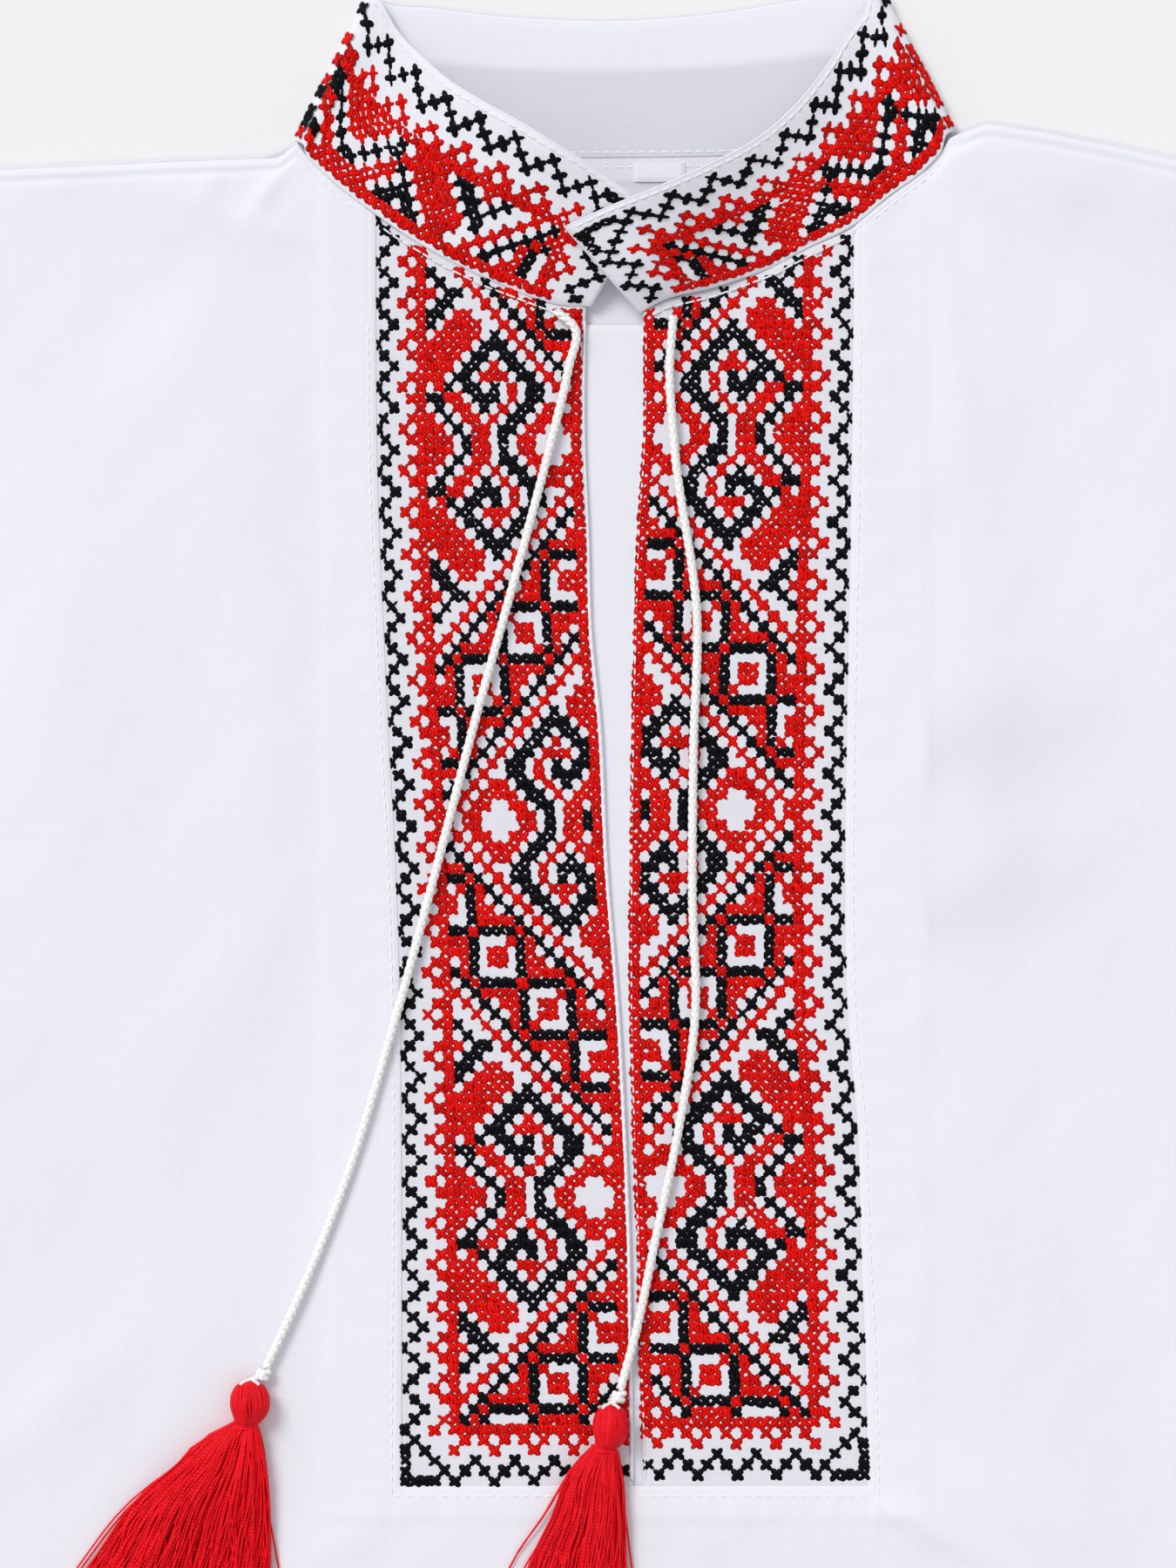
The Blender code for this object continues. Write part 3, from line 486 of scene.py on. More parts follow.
def twist_group():
    """Twist: plies that slant across a thread, from its own coordinates along and round it."""
    group, plies, end = start_group("twist", "Plies", ("Height", "Shade"))
    place = add_node(group, "ShaderNodeUVMap", uv_map="thread").outputs[0]
    split = add_node(group, "ShaderNodeSeparateXYZ", {0: place}).outputs
    slant = math_node(group, "MULTIPLY_ADD", split[0], 1.4, split[1])
    turns = math_node(group, "MULTIPLY", slant, plies)
    ply = math_node(group, "SINE", math_node(group, "MULTIPLY", turns, 2.0 * math.pi))
    fine = add_node(group, "ShaderNodeTexCoord").outputs["Object"]
    noise = add_node(group, "ShaderNodeTexNoise", {"Vector": fine, "Scale": 900.0, "Detail": 3.0})
    mixed = math_node(group, "MULTIPLY_ADD", ply, 0.22, noise.outputs["Fac"])
    # Shade is painted shade in the grooves between the plies, varied at random by noise.
    shade = add_node(group, "ShaderNodeMapRange", {0: mixed, 1: 0.25, 2: 0.7})
    group.links.new(ply, end["Height"])
    group.links.new(shade.outputs[0], end["Shade"])
    return group


TWIST = twist_group()
PLIES_IN_THREAD = 2.0


def thread_material(name, colour, dark, roughness, sheen=0.0, gloss=0.3):
    """Twisted thread: painted shade in the grooves between its plies, and a colour darker by half where a
    piece marks it, with painted shade on the crosses' ends and edges and random darkening on the tassels.
    """
    made, tree, shader = start_material(name, roughness, sheen)
    shader.inputs["Specular IOR Level"].default_value = gloss
    shader.inputs["Sheen Tint"].default_value = (*colour, 1.0)
    twist = add_node(tree, "ShaderNodeGroup", {"Plies": PLIES_IN_THREAD}, node_tree=TWIST).outputs
    paint(tree, shader, colour, dark, twist["Shade"], 0.5, (twist["Height"], 0.5, 0.00008))
    return made


# The white cloth is darkened by the share its pieces carry: evenly on the front, and painted shade in broad
# fold shading and on the strip behind the slit.
WHITE = cloth_material("white cloth", (0.866, 0.859, 0.909), (0.848, 0.841, 0.891), 0.3, 1.0)
GROUND = cloth_material("insert cloth", (0.780, 0.768, 0.815), (0.735, 0.723, 0.770), 0.45)
BAND = cloth_material("collar cloth", (0.84, 0.83, 0.875), (0.80, 0.79, 0.835), 0.45)
# The lining's lower part is darker: painted shade, 16 % of its light, where band_layer marks it.
LINING = cloth_material("collar lining", (0.84, 0.835, 0.89), (0.82, 0.815, 0.87), 0.3, 0.16)
# The back shows only at the neck, under the collar: a darker copy of the white cloth, painted shade.
INSIDE_PAINTED_SHADE = cloth_material("inside cloth with painted shade", (0.80, 0.785, 0.835), (0.78, 0.765, 0.815), 0.35)
RED = thread_material("red floss", (1.0, 0.010, 0.006), (0.48, 0.001, 0.001), 0.34, gloss=0.05)
BLACK = thread_material("black floss", (0.005, 0.004, 0.007), (0.002, 0.002, 0.003), 0.36, gloss=0.07)
SEWING = thread_material("white sewing thread", (0.97, 0.97, 1.0), (0.91, 0.91, 0.95), 0.5, 0.1)
CORD = thread_material("cord thread", (0.96, 0.955, 0.935), (0.84, 0.83, 0.80), 0.6, 0.2)
print("materials:", len(bpy.data.materials))

# %% [markdown]
# ## Cords
#
# Each cord is sewn into the neck seam beside the slit. It is laid up from three plies that turn
# round each other, so each ply is a helix round the cord's own path.

# %% Cords
# columns: x, y along the cord
LEFT_CORD = np.array([
    (-17.8, 305.6), (-12.8, 301.0), (-14.4, 291.0), (-19.4, 270.0), (-27.2, 240.6),
    (-38.7, 199.2), (-48.2, 163.0), (-59.0, 123.2), (-71.6, 82.2), (-84.6, 49.8),
])
RIGHT_CORD = np.array([
    (12.6, 304.2), (11.7, 292.6), (13.0, 269.4), (18.7, 226.4), (17.8, 193.1),
    (17.5, 155.0), (18.2, 123.4), (14.0, 94.6), (8.3, 67.4), (2.3, 39.5),
])
# columns: x, y, half width, half length, half height of a tassel's head
LEFT_HEAD = np.array((-96.5, 24.2, 5.1, 5.5, 3.8))
RIGHT_HEAD = np.array((-3.6, 18.1, 4.6, 5.5, 3.8))
PLIES, PLY_SHARE, LAY = 3, 0.29, 6.6
CORD_STEPS = 640


def cord_course(route, head):
    """The cord's centre line, from the neck seam to its knot, and the knot's centre."""
    away = unit(route[-1] - head[:2])
    knot = head[:2] + away * (head[3] + SEAM + KNOT_RADIUS)
    flat = even_path(np.vstack([route, knot + away * (KNOT_RADIUS + SEAM)]), CORD_STEPS)
    z = front_top(flat[:, 0], flat[:, 1]) + CORD_CLEARANCE + CORD_DIAMETER / 2.0
    knot_z = float(front_top(*knot)) + CORD_CLEARANCE + KNOT_RADIUS
    return np.column_stack([flat, z]), np.array((*knot, knot_z))


def make_cord(side, route, head):
    """A cord of plies, each a helix: it goes once round the centre line in the length of its lay."""
    path, knot = cord_course(route, head)
    along = running_length(path)
    ahead = unit(np.gradient(path, axis=0))
    beside = unit(np.cross(ahead, (0.0, 0.0, 1.0)))
    above = np.cross(beside, ahead)
    ply_radius = CORD_DIAMETER * PLY_SHARE
    angle = 2.0 * math.pi * (along[None] / LAY + np.arange(PLIES)[:, None] / PLIES)
    reach = CORD_DIAMETER / 2.0 - ply_radius
    plies = path + reach * (np.cos(angle)[..., None] * beside + np.sin(angle)[..., None] * above)
    points, faces, uv = tubes(plies, ply_radius, 7)
    uv[:, 0] *= along[-1] / 3.0
    piece = new_piece("cord_" + side + "_plies", points, faces, CORD, uv)
    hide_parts("cord_" + side)
    return piece, path, knot, along[-1]


def make_knot(side, knot, ahead):
    """An overhand knot pulled tight: three turns of the cord, tilted against each other."""
    turn = np.linspace(0.0, 2.0 * math.pi, 33)
    beside = np.cross(ahead, (0.0, 0.0, 1.0))
    loops = []
    for tilt, shift in ((0.5, -0.75), (-0.55, 0.0), (0.35, 0.8)):
        lean = unit(beside + tilt * ahead)
        ring = np.cos(turn)[:, None] * lean * 1.35 + np.sin(turn)[:, None] * np.array((0.0, 0.0, 0.85))
        loops.append(knot + ring + ahead * shift)
    points, faces, uv = tubes(loops, 0.8, 8)
    uv[:, 0] *= 3.0
    piece = new_piece("knot_" + side + "_turns", points, faces, CORD, uv)
    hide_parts("knot_" + side)
    return piece


for side, route, head in (("left", LEFT_CORD, LEFT_HEAD), ("right", RIGHT_CORD, RIGHT_HEAD)):
    piece, path, knot, length = make_cord(side, route, head)
    ahead = unit(path[-1] - path[-8])
    ball = make_knot(side, knot, ahead)
    print(side, "cord is", round(float(length)), "mm long")

# %% [markdown]
# ## Front, back and underlap
#
# The front is cut out for the insert. Its edge is turned under and stitched down, so the cloth dips into
# the seam and again under the topstitching. A facing inside doubles the cloth round the insert, which shows
# as a band with a soft step at its edge; the single cloth beside the band has painted shade.

# %% Front, back and underlap
FACING_LEFT, FACING_RIGHT, FACING_FOOT, FACING_STEP = -79.2, 77.2, -7.8, 1.6
TOP_LINE, TOP_LINE_AT_FOOT = 2.1, 2.8
PANEL_WALL, UNDERLAP_WALL, GROUND_WALL, BINDING_WALL = 0.7, 0.8, 0.6, 0.3
BAND_WALL, TAPE_WALL, SLEEVE_WALL = 0.5, 0.35, 0.65
RESTS_AT = 0.75
HAIR = 0.06
waves = rng.uniform(0.0, 1.0, (16, 4))


def insert_distance(x, y):
    """How far a place lies outside the insert's outer seam."""
    beside = np.maximum(insert_edge(y, LEFT_OUTER) - x, x - insert_edge(y, RIGHT_OUTER))
    return np.hypot(np.maximum(beside, 0.0), np.maximum(INSERT_BOTTOM - y, 0.0))


def top_line(y):
    """How far the topstitching lies outside the seam: a little more near the foot."""
    more = TOP_LINE_AT_FOOT - TOP_LINE
    return TOP_LINE + more * (1.0 - smooth((y - INSERT_BOTTOM) / 110.0))


def ripples(x, y):
    """Shallow unevenness: sixteen waves, the longer ones higher, whose crests run mostly along Y."""
    angle = (waves[:, 0] - 0.5) * 1.7
    length = 14.0 + 66.0 * waves[:, 1] ** 2
    push = x[..., None] * np.cos(angle) + y[..., None] * np.sin(angle)
    return (0.0016 * length * np.sin(2.0 * math.pi * (push / length + waves[:, 2]))).sum(axis=-1)


def puckers(x, y, away):
    """Small crumples that a seam draws into the facing: waves along it, which die away from it."""
    along = np.where(y > INSERT_BOTTOM, y, 1.3 * x)
    wave = np.sin(2.0 * math.pi * along / 9.3 + 1.6 * np.sin(along / 13.0) + 0.10 * away)
    wave += 0.8 * np.sin(2.0 * math.pi * along / 15.7 - 0.16 * away)
    wave += 0.5 * np.sin(2.0 * math.pi * along / 5.1 + 2.0 * np.sin(along / 19.0))
    side = 0.5 + 0.5 * smooth((x + 60.0) / 80.0)
    return 0.085 * side * wave * groove(away - 6.5, 8.0) * smooth((away - 2.2) / 2.5)


def groove(distance, wide):
    """A dip with its lowest point at no distance, shaped like a bell."""
    return np.exp(-((distance / wide) ** 2))


def front_edge(x):
    """The front's upper edge: the shoulder seams, and the neck seam between them."""
    rows = np.vstack([SHOULDER_LEFT, SHOULDER_RIGHT])
    shoulder = np.interp(x, rows[:, 0], rows[:, 1])
    return np.where(np.abs(x) > NECK_HALF + 0.3, shoulder, neck_edge(x))


def front_surface(x, y):
    """Upper side of the visible front, with folds, seams and ripples, and how much its colour is darkened:
    evenly, and with painted shade for the broad fold shading.
    """
    away = insert_distance(x, y)
    below_edge = np.maximum(front_edge(x) - y, 0.0)
    neck = 1.0 - smooth((np.abs(x) - 84.0) / 3.0)
    open_cloth = smooth((away - 2.5) / 9.0) * smooth((below_edge - 1.0) / 5.0)
    facing = smooth((x - FACING_LEFT) / FACING_STEP) * (1.0 - smooth((x - FACING_RIGHT) / FACING_STEP))
    facing = facing * smooth((y - FACING_FOOT) / FACING_STEP)
    outside = smooth(np.maximum(np.abs(x + 9.0) - 150.0, -25.0 - y) / 60.0)
    lift = open_cloth * (crest_lift(x, y, CREASES) + ripples(x, y) * (0.8 + outside)) + 0.32 * facing
    lift = lift + puckers(x, y, away) * smooth((below_edge - 1.0) / 5.0)
    seam = 0.40 * groove(away, 1.1) + 0.12 * groove(away - top_line(y), 0.6)
    seam += 0.25 * groove(below_edge, 0.6) * neck + 0.5 * groove(below_edge, 1.0) * (1.0 - neck)
    seam += 0.2 * groove(below_edge - 2.2, 0.6) * neck
    seam += 0.45 * groove(below_edge - 3.1, 0.7) * (1.0 - neck)
    # Painted shade: the single cloth is darker in broad places where shallow folds shade it, on top of an
    # even darkening of the whole front.
    painted_shade_and_tone_loss = 0.028 * facing + (1.0 - facing) * (0.024 + crest_lift(x, y, PAINTED_SHADES))
    return front_top(x, y) - 0.15 + lift - seam, painted_shade_and_tone_loss


def cloth_shell(name, grid, material, thick, node=None, keep=None, tone_and_painted_shade=None):
    """Thin cloth: a grid of points on its upper side, and Solidify gives it its thickness below."""
    faces = grid_faces(*grid.shape[:2])
    if keep is not None:
        faces = faces[keep.ravel()]
    return give_wall(new_piece(name, grid, faces, material, tone_and_painted_shade=tone_and_painted_shade), thick, -1.0, node)


def panel_rows(below, shares, edge, bottom):
    """Rows of a panel: level ones first, then rows that share the way to its edge, and their shares."""
    upper = bottom + (edge - bottom) * shares[:, None]
    rows = np.vstack([np.repeat(below[:, None], len(edge), axis=1), upper])
    return rows, np.broadcast_to(np.concatenate([np.zeros(len(below)), shares])[:, None], rows.shape)


def make_front():
    """The front's grid: fine columns beside the insert, wider ones outward, and a part below it."""
    seam = [0.0, 0.3, 0.6, 0.95, 1.35, 1.75, 2.15, 2.6, 3.2]
    far = np.concatenate([seam, np.arange(4.2, 96.0, 1.8), np.linspace(98.0, 175.6, 17)])
    left_inner, right_inner = INSERT[-1, LEFT_OUTER] - HAIR, INSERT[-1, RIGHT_OUTER] + HAIR
    left_top = (left_inner - far * (left_inner + SHOULDER_X) / far[-1])[::-1]
    right_top = right_inner + far * (SHOULDER_X - right_inner) / far[-1]
    below = np.concatenate([np.linspace(HEM_Y, -30.0, 62), np.arange(-27.0, 0.5, 1.5), [1.1, 1.7]])
    near_edge = 1.0 - 0.035 * (1.0 - np.linspace(0.12, 1.0, 14)) ** 1.3
    shares = np.concatenate([np.linspace(0.0, 0.965, 176), near_edge])
    tops = np.concatenate([left_top, right_top])
    side = np.sign(tops)
    inner_top = np.where(side < 0, left_inner, right_inner)
    rows_y, row_share = panel_rows(below, shares, front_edge(tops), INSERT_BOTTOM - HAIR)
    outer = side * half_width(rows_y, row_share)
    seam_x = np.where(side < 0, insert_edge(rows_y, LEFT_OUTER), insert_edge(rows_y, RIGHT_OUTER))
    inner = seam_x + side * HAIR
    share = (tops - side * SHOULDER_X) / (inner_top - side * SHOULDER_X)
    rows_x = between(outer, inner, share)
    count = len(left_top)
    part = np.linspace(0.0, 1.0, 64)[1:-1]
    x, y = (
        np.hstack([v[:, :count], between(v[:, count - 1, None], v[:, count, None], part), v[:, count:]])
        for v in (rows_x, rows_y)
    )
    keep = np.ones((x.shape[0] - 1, x.shape[1] - 1), dtype=bool)
    keep[len(below) :, count - 1 : count + len(part)] = False
    z, painted_shade_and_tone_loss = front_surface(x, y)
    return cloth_shell(
        "front_cloth", columns(x, y, z), WHITE, PANEL_WALL, "front", keep, painted_shade_and_tone_loss
    )


def back_edge(x):
    """The back's upper edge: the shoulder seams, and the neck seam between them."""
    rows = np.vstack([SHOULDER_LEFT, BACK_NECK, SHOULDER_RIGHT])
    return np.interp(x, rows[:, 0], rows[:, 1])


def make_back():
    """The back: flat underneath, where it rests."""
    spans = ((-SHOULDER_X, -86.0, 20), (-85.0, 85.0, 70), (86.0, SHOULDER_X, 20))
    tops = np.concatenate([np.linspace(*span) for span in spans])
    near_edge = [0.976, 0.979, 0.981, 0.983, 0.985, 0.989, 0.993, 0.997, 1.0]
    shares = np.concatenate([np.linspace(0.0, 0.97, 34), near_edge])
    below = np.linspace(HEM_Y, -30.0, 24)
    y, row_share = panel_rows(below, shares, back_edge(tops) + 1.2, INSERT_BOTTOM - 0.2)
    x = half_width(y, row_share) * tops / SHOULDER_X
    from_edge = back_edge(tops) - y
    turned = smooth((6.6 - from_edge) / 0.9) * (1.0 - smooth((np.abs(x) - 78.0) / 4.0))
    z = 1.05 + 0.4 * turned - 0.12 * groove(from_edge - 1.9, 0.5) * turned
    grid = columns(x, y, np.maximum(z, RESTS_AT))
    return cloth_shell("back_cloth", grid, INSIDE_PAINTED_SHADE, PANEL_WALL, "back")


def make_underlap():
    """The plain strip behind the slit. Its upper edge is folded, so it is rounded."""
    u = np.linspace(UNDERLAP_LEFT, UNDERLAP_RIGHT, 24)
    v = np.concatenate([np.linspace(-0.5, 298.0, 120), np.linspace(298.6, UNDERLAP_TOP, 9)])
    x, y = np.meshgrid(u, v)
    z = 2.9 + 0.1 * np.sin(y / 17.0 + x / 6.0) - 0.7 * groove(UNDERLAP_TOP - y, 0.7)
    # Painted shade: the strip behind the slit lies below the insert's edges, and its colour is darkened
    # evenly.
    painted_shade_and_tone_loss = np.full(z.shape, 0.055)
    grid = columns(x, y, z)
    return cloth_shell("underlap_cloth", grid, WHITE, UNDERLAP_WALL, "underlap", tone_and_painted_shade=painted_shade_and_tone_loss)


front_piece = make_front()
back_piece = make_back()
underlap_piece = make_underlap()
print("front faces:", len(front_piece.data.polygons))

# %% [markdown]
# ## Chest insert
#
# The insert is worked before it is sewn in: two halves, each with its own stitched ground, meet at
# the slit. The ground is a coarser even weave, since cross-stitch is counted over its threads. The
# left half's slit edge is bound with a narrow white strip; the right half's is turned and stitched.


# %% Chest insert
GROUND_DROP, GROUND_UNDER = 0.38, 0.5
BINDING_OUT = 0.15


def half_grid(outer, slit, shares, heights):
    """Places on one half of the insert, from its outer seam to the slit and from foot to neck."""
    top = np.full(len(shares), 320.0)
    for _ in range(6):
        top = neck_edge(between(insert_edge(top, outer), insert_edge(top, slit), shares))
    y = INSERT_BOTTOM + (top - INSERT_BOTTOM) * heights[:, None]
    return between(insert_edge(y, outer), insert_edge(y, slit), shares), y


def insert_height(x, y, outer, slit):
    """Upper side of the ground: it rises a little at the outer seam and at the foot, and turns under at the
    slit.
    """
    seam = -0.1 * groove(x - insert_edge(y, outer), 0.8) - 0.1 * groove(y - INSERT_BOTTOM, 0.8)
    turn = 0.4 * groove(x - insert_edge(y, slit), 0.7)
    return front_top(x, y) - GROUND_DROP - seam - turn


def make_insert(side, outer, slit):
    """One half's ground cloth, which goes a little way under the front at its seams."""
    edge = np.array([0.0, 0.006, 0.013, 0.022, 0.035])
    shares = np.concatenate([edge, np.linspace(0.05, 0.95, 46), 1.0 - edge[::-1]])
    heights = np.concatenate([[0.0, 0.0012, 0.0028, 0.005], np.linspace(0.01, 1.0, 180)])
    x, y = half_grid(outer, slit, shares, heights)
    x[:, 0] += GROUND_UNDER if side == "right" else -GROUND_UNDER
    y[0] -= GROUND_UNDER
    grid = columns(x, y, insert_height(x, y, outer, slit))
    if side == "right":
        grid = grid[:, ::-1]
    return cloth_shell("insert_" + side, grid, GROUND, GROUND_WALL, "plastron_" + side)


insert_left = make_insert("left", *HALVES["left"])
insert_right = make_insert("right", *HALVES["right"])

bind_y = np.linspace(3.5, 303.0, 220)[:, None]
bind_across = np.linspace(0.0, 1.0, 9)
bind_wide = 1.15 - 0.5 * smooth((bind_y - 190.0) / 90.0)
bind_x = insert_edge(bind_y, LEFT_SLIT) - bind_wide * (1.0 - bind_across) + BINDING_OUT
bind_z = front_top(bind_x, bind_y) - GROUND_DROP + 0.5 * np.sin(math.pi * bind_across) ** 0.5 - 0.1
cloth_shell("slit_binding", columns(bind_x, bind_y, bind_z), WHITE, BINDING_WALL)
print("insert faces:", len(insert_left.data.polygons), "and", len(insert_right.data.polygons))

# %% [markdown]
# ## Collar
#
# The band is one strip. It stands along the front, turns flat at the sides and runs behind the neck.
# A section is a straight line from the neck seam to the upper edge, and cubics join one section to
# the next. Two layers make it: an embroidered outer one, and a plain one inside.


# %% Collar
BACK_BAND_Z, BAND_CELLS = 0.8, 30
RIM_LINE = 0.955


def band_height(x, y, over):
    """Height of the front of the collar: level at the sides, rising from its seam in the middle."""
    reach = np.abs(x)
    seam = BAND_Z + 0.6 * smooth((reach - 40.0) / 40.0)
    rise = BAND_SLOPE * (y - neck_y(x)) * (1.0 - smooth((reach - 15.0) / 50.0))
    lap = over * BAND_LAP * smooth((y - 305.0) / 8.0) * (1.0 - smooth((x - 12.0) / 25.0))
    return seam + rise + lap


def fold_rows(row, side, share):
    """Sections round one side of the collar: half a circle from the front band to the back band."""
    along = unit(row[2:] - row[:2])
    outward = side * np.array([along[1], -along[0]])
    flat = between(row[:2], row[2:], share)
    rows = []
    for degrees in (90.0, 45.0, 0.0, -45.0, -90.0):
        angle = math.radians(degrees)
        place = flat + outward * FOLD_RADIUS * (math.cos(angle) - 1.0)
        rows.append(columns(*place.T, BACK_BAND_Z + FOLD_RADIUS * (1.0 + math.sin(angle))))
    return rows


def collar_rows():
    """All the collar's sections from its left end to its right end, as grids of points."""
    share = np.linspace(0.0, 1.0, BAND_CELLS + 1)[:, None]

    def flats(table):
        """The x and y of a table's sections."""
        return [between(row[:2], row[2:], share).T for row in table]

    rows = [columns(x, y, band_height(x, y, 0.0)) for x, y in flats(LEFT_BAND)]
    rows += fold_rows(LEFT_FOLD, -1, share)
    rows += [columns(x, y, BACK_BAND_Z) for x, y in flats(BACK_BAND)]
    rows += fold_rows(RIGHT_FOLD, 1, share)[::-1]
    rows += [columns(x, y, band_height(x, y, 1.0)) for x, y in flats(RIGHT_BAND)]
    return np.array(rows)


BAND_ROWS = collar_rows()
BAND_AT = running_length(BAND_ROWS[:, BAND_CELLS // 2])
BAND_LENGTH = float(BAND_AT[-1])
FRONT_ENDS = {"left": (0.0, BAND_AT[10]), "right": (BAND_LENGTH, BAND_AT[20])}


def band_points(at, share):
    """Places on the collar's middle surface: a distance along the band, a share of the way up it."""
    rows = hermite(BAND_AT, BAND_ROWS, at)
    place = np.clip(share, 0.0, 1.0) * BAND_CELLS
    low = np.clip(place.astype(int), 0, BAND_CELLS - 1)
    index = np.arange(len(at))
    points = between(rows[index, low], rows[index, low + 1], (place - low)[:, None])
    points[:, 2] = np.maximum(points[:, 2], BACK_BAND_Z)
    return points


def band_frame(at, share):
    """The place, the direction along the band, the one up it, and the outward one."""
    at, share = np.asarray(at, dtype=float), np.asarray(share, dtype=float)
    along = unit(band_points(at + 0.4, share) - band_points(at - 0.4, share))
    low, high = np.clip(share - 0.02, 0.0, 0.96), np.clip(share + 0.02, 0.04, 1.0)
    up = unit(band_points(at, high) - band_points(at, low))
    return band_points(at, share), along, up, unit(np.cross(up, along))


def band_layer(name, material, middle, node=None):
    """One layer of the band, with a rounded upper edge and the dips of its rows of topstitching."""
    at = np.linspace(0.3, BAND_LENGTH - 0.3, 240)
    at = np.unique(np.concatenate([at, BAND_AT[7:14], BAND_AT[17:23]]))
    rim = [0.94, 0.955, 0.97, 0.985, 0.995, 1.0]
    share = np.concatenate([[0.0, 0.012, 0.03], np.linspace(0.06, 0.92, 28), rim])
    a, s = (v.ravel() for v in np.meshgrid(at, share, indexing="ij"))
    place, _, _, out = band_frame(a, s)
    edge = 0.5 * groove(s - 1.0, 0.02) + 0.12 * groove(s - RIM_LINE, 0.012)
    if middle > 0:
        edge += 0.3 * groove(s, 0.02)
    wave = 0.14 * np.sin(a / 9.0) * np.sin(s * 3.0)
    sign = 1.0 if middle > 0 else -1.0
    shape = (len(at), len(share))
    grid = (place + out * (middle - sign * edge + wave)[:, None]).reshape(*shape, 3)
    # Painted shade: the lower three fifths of the band are marked to be darker, and only the lining's
    # material darkens them.
    tone_and_painted_shade = (1.0 - smooth((s - 0.60) / 0.06)).reshape(shape)
    piece = new_piece(name, grid[:, ::-1], grid_faces(*shape), material, tone_and_painted_shade=tone_and_painted_shade[:, ::-1])
    return give_wall(piece, BAND_WALL, 0.0, node)


collar_outer = band_layer("collar_outer", BAND, 0.18, "collar")
band_layer("collar_inner", LINING, -0.48)
TAPE_LEFT, TAPE_RIGHT, TAPE_FOOT, TAPE_TOP = 2.25, 15.75, 339.2, 344.1
TAPE_RIB = 0.95
tape_across, tape_up = np.linspace(TAPE_LEFT, TAPE_RIGHT, 109), np.linspace(TAPE_FOOT, TAPE_TOP, 40)
tape_x, tape_y = np.meshgrid(tape_across, tape_up)
tape_z = 2.05 - 0.2 * groove(tape_y - TAPE_FOOT, 0.7)
tape_z = tape_z + 0.06 * np.sin(2.0 * math.pi * (tape_x + tape_y) / TAPE_RIB)
tape_z -= 0.35 * groove(tape_x - TAPE_LEFT, 0.8) + 0.35 * groove(tape_x - TAPE_RIGHT, 0.8)
tape_grid = columns(tape_x, tape_y, tape_z)
cloth_shell("neck_tape_cloth", tape_grid, WHITE, TAPE_WALL, "neck_tape")
print("band length:", round(BAND_LENGTH, 1), "mm")

# %% [markdown]
# ## Sleeves
#
# Each sleeve is a straight tube laid flat. Its top is puffed up a little and wrinkles slant from
# the armhole, since the cloth hangs from the shoulder when it is laid out.


# %% Sleeves
def make_sleeve(side, sign, shoulder_y):
    """A tube of rings from the armhole to the wrist; every ring has an upper and a lower half."""
    bottom = INSERT_BOTTOM - SEAM
    underarm_y = bottom + (shoulder_y - bottom) * UNDERARM_SHARE
    part = np.linspace(0.0, 1.0, 47)
    up = 1.0 - part
    hole = np.column_stack([armhole_width(up) + 0.25, underarm_y + (shoulder_y - underarm_y) * up])
    along = np.array([math.cos(SLEEVE_DROP), -math.sin(SLEEVE_DROP)])
    across = np.array([-math.sin(SLEEVE_DROP), -math.cos(SLEEVE_DROP)])
    wrist_top = hole[0] + along * SLEEVE_LENGTH
    wrist_low = wrist_top + across * WRIST_WIDTH
    crown = hole - between(hole[0], hole[-1], part[:, None])
    spans = ((0.0, 0.02, 5), (0.027, 0.965, 118), (0.97, 1.0, 10))
    k = np.concatenate([np.linspace(*span) for span in spans])[:, None, None]
    u = part[None, :, None]
    top, low = between(hole[0], wrist_top, k), between(hole[-1], wrist_low, k)
    flat = between(top, low, u) + crown[None] * np.maximum(1.0 - k / 0.35, 0.0) ** 2
    k, u = k[..., 0], u[..., 0]
    loft = SLEEVE_LOFT * smooth(k / 0.25) * (1.0 - 0.5 * smooth((k - 0.7) / 0.3))
    ridge = 1.0 + 0.45 * np.cos(2.0 * math.pi * (1.5 * u + 0.9 * k))
    bell = np.sin(math.pi * u)
    wrinkle = smooth(k / 0.1) * (1.0 - 0.6 * smooth((k - 0.8) / 0.2)) * bell
    phase = 2.1 * u + 1.9 * k + 0.4 * np.sin(3.7 * k + 1.0) + 0.15 * np.sin(9.0 * u)
    slant = np.sin(2.0 * math.pi * phase) * (0.45 + 0.3 * np.sin(5.3 * k + 2.0 * u))
    cross = np.sin(2.0 * math.pi * (5.3 * k - 1.1 * u + 0.5 * np.sin(4.1 * k + 2.0 * u)))
    cross *= smooth((k - 0.2) / 0.4) * (0.25 + 0.25 * np.sin(9.1 * k + 4.0 * u))
    hem = 0.5 * groove((k - 0.965) * SLEEVE_LENGTH, 0.9) + 0.5 * groove(k * SLEEVE_LENGTH, 1.2)
    high = 2.0 * CLOTH + SEAM + loft * bell * ridge + wrinkle * (slant + 0.9 * cross) - hem * bell**0.3
    high = np.maximum(high, 2.55) * np.minimum(1.0, 0.45 + 7.0 * np.minimum(u, 1.0 - u))
    upper = columns(flat[..., 0], flat[..., 1], high - 0.1)
    lower = columns(flat[..., 0], flat[..., 1], RESTS_AT)[:, 1:-1][:, ::-1]
    ring = np.concatenate([upper, lower], axis=1)
    ring[..., 0] *= sign
    faces = grid_faces(*ring.shape[:2], ring=True)
    if sign < 0:
        faces = faces[:, ::-1]
    piece = new_piece("sleeve_" + side + "_cloth", ring, faces, WHITE)
    give_wall(piece, SLEEVE_WALL, -1.0, "sleeve_" + side)
    return piece, upper * np.array((sign, 1.0, 1.0))


sleeve_left, sleeve_left_top = make_sleeve("left", -1.0, SHOULDER_Y_LEFT)
sleeve_right, sleeve_right_top = make_sleeve("right", 1.0, SHOULDER_Y_RIGHT)
print("sleeve faces:", len(sleeve_left.data.polygons))
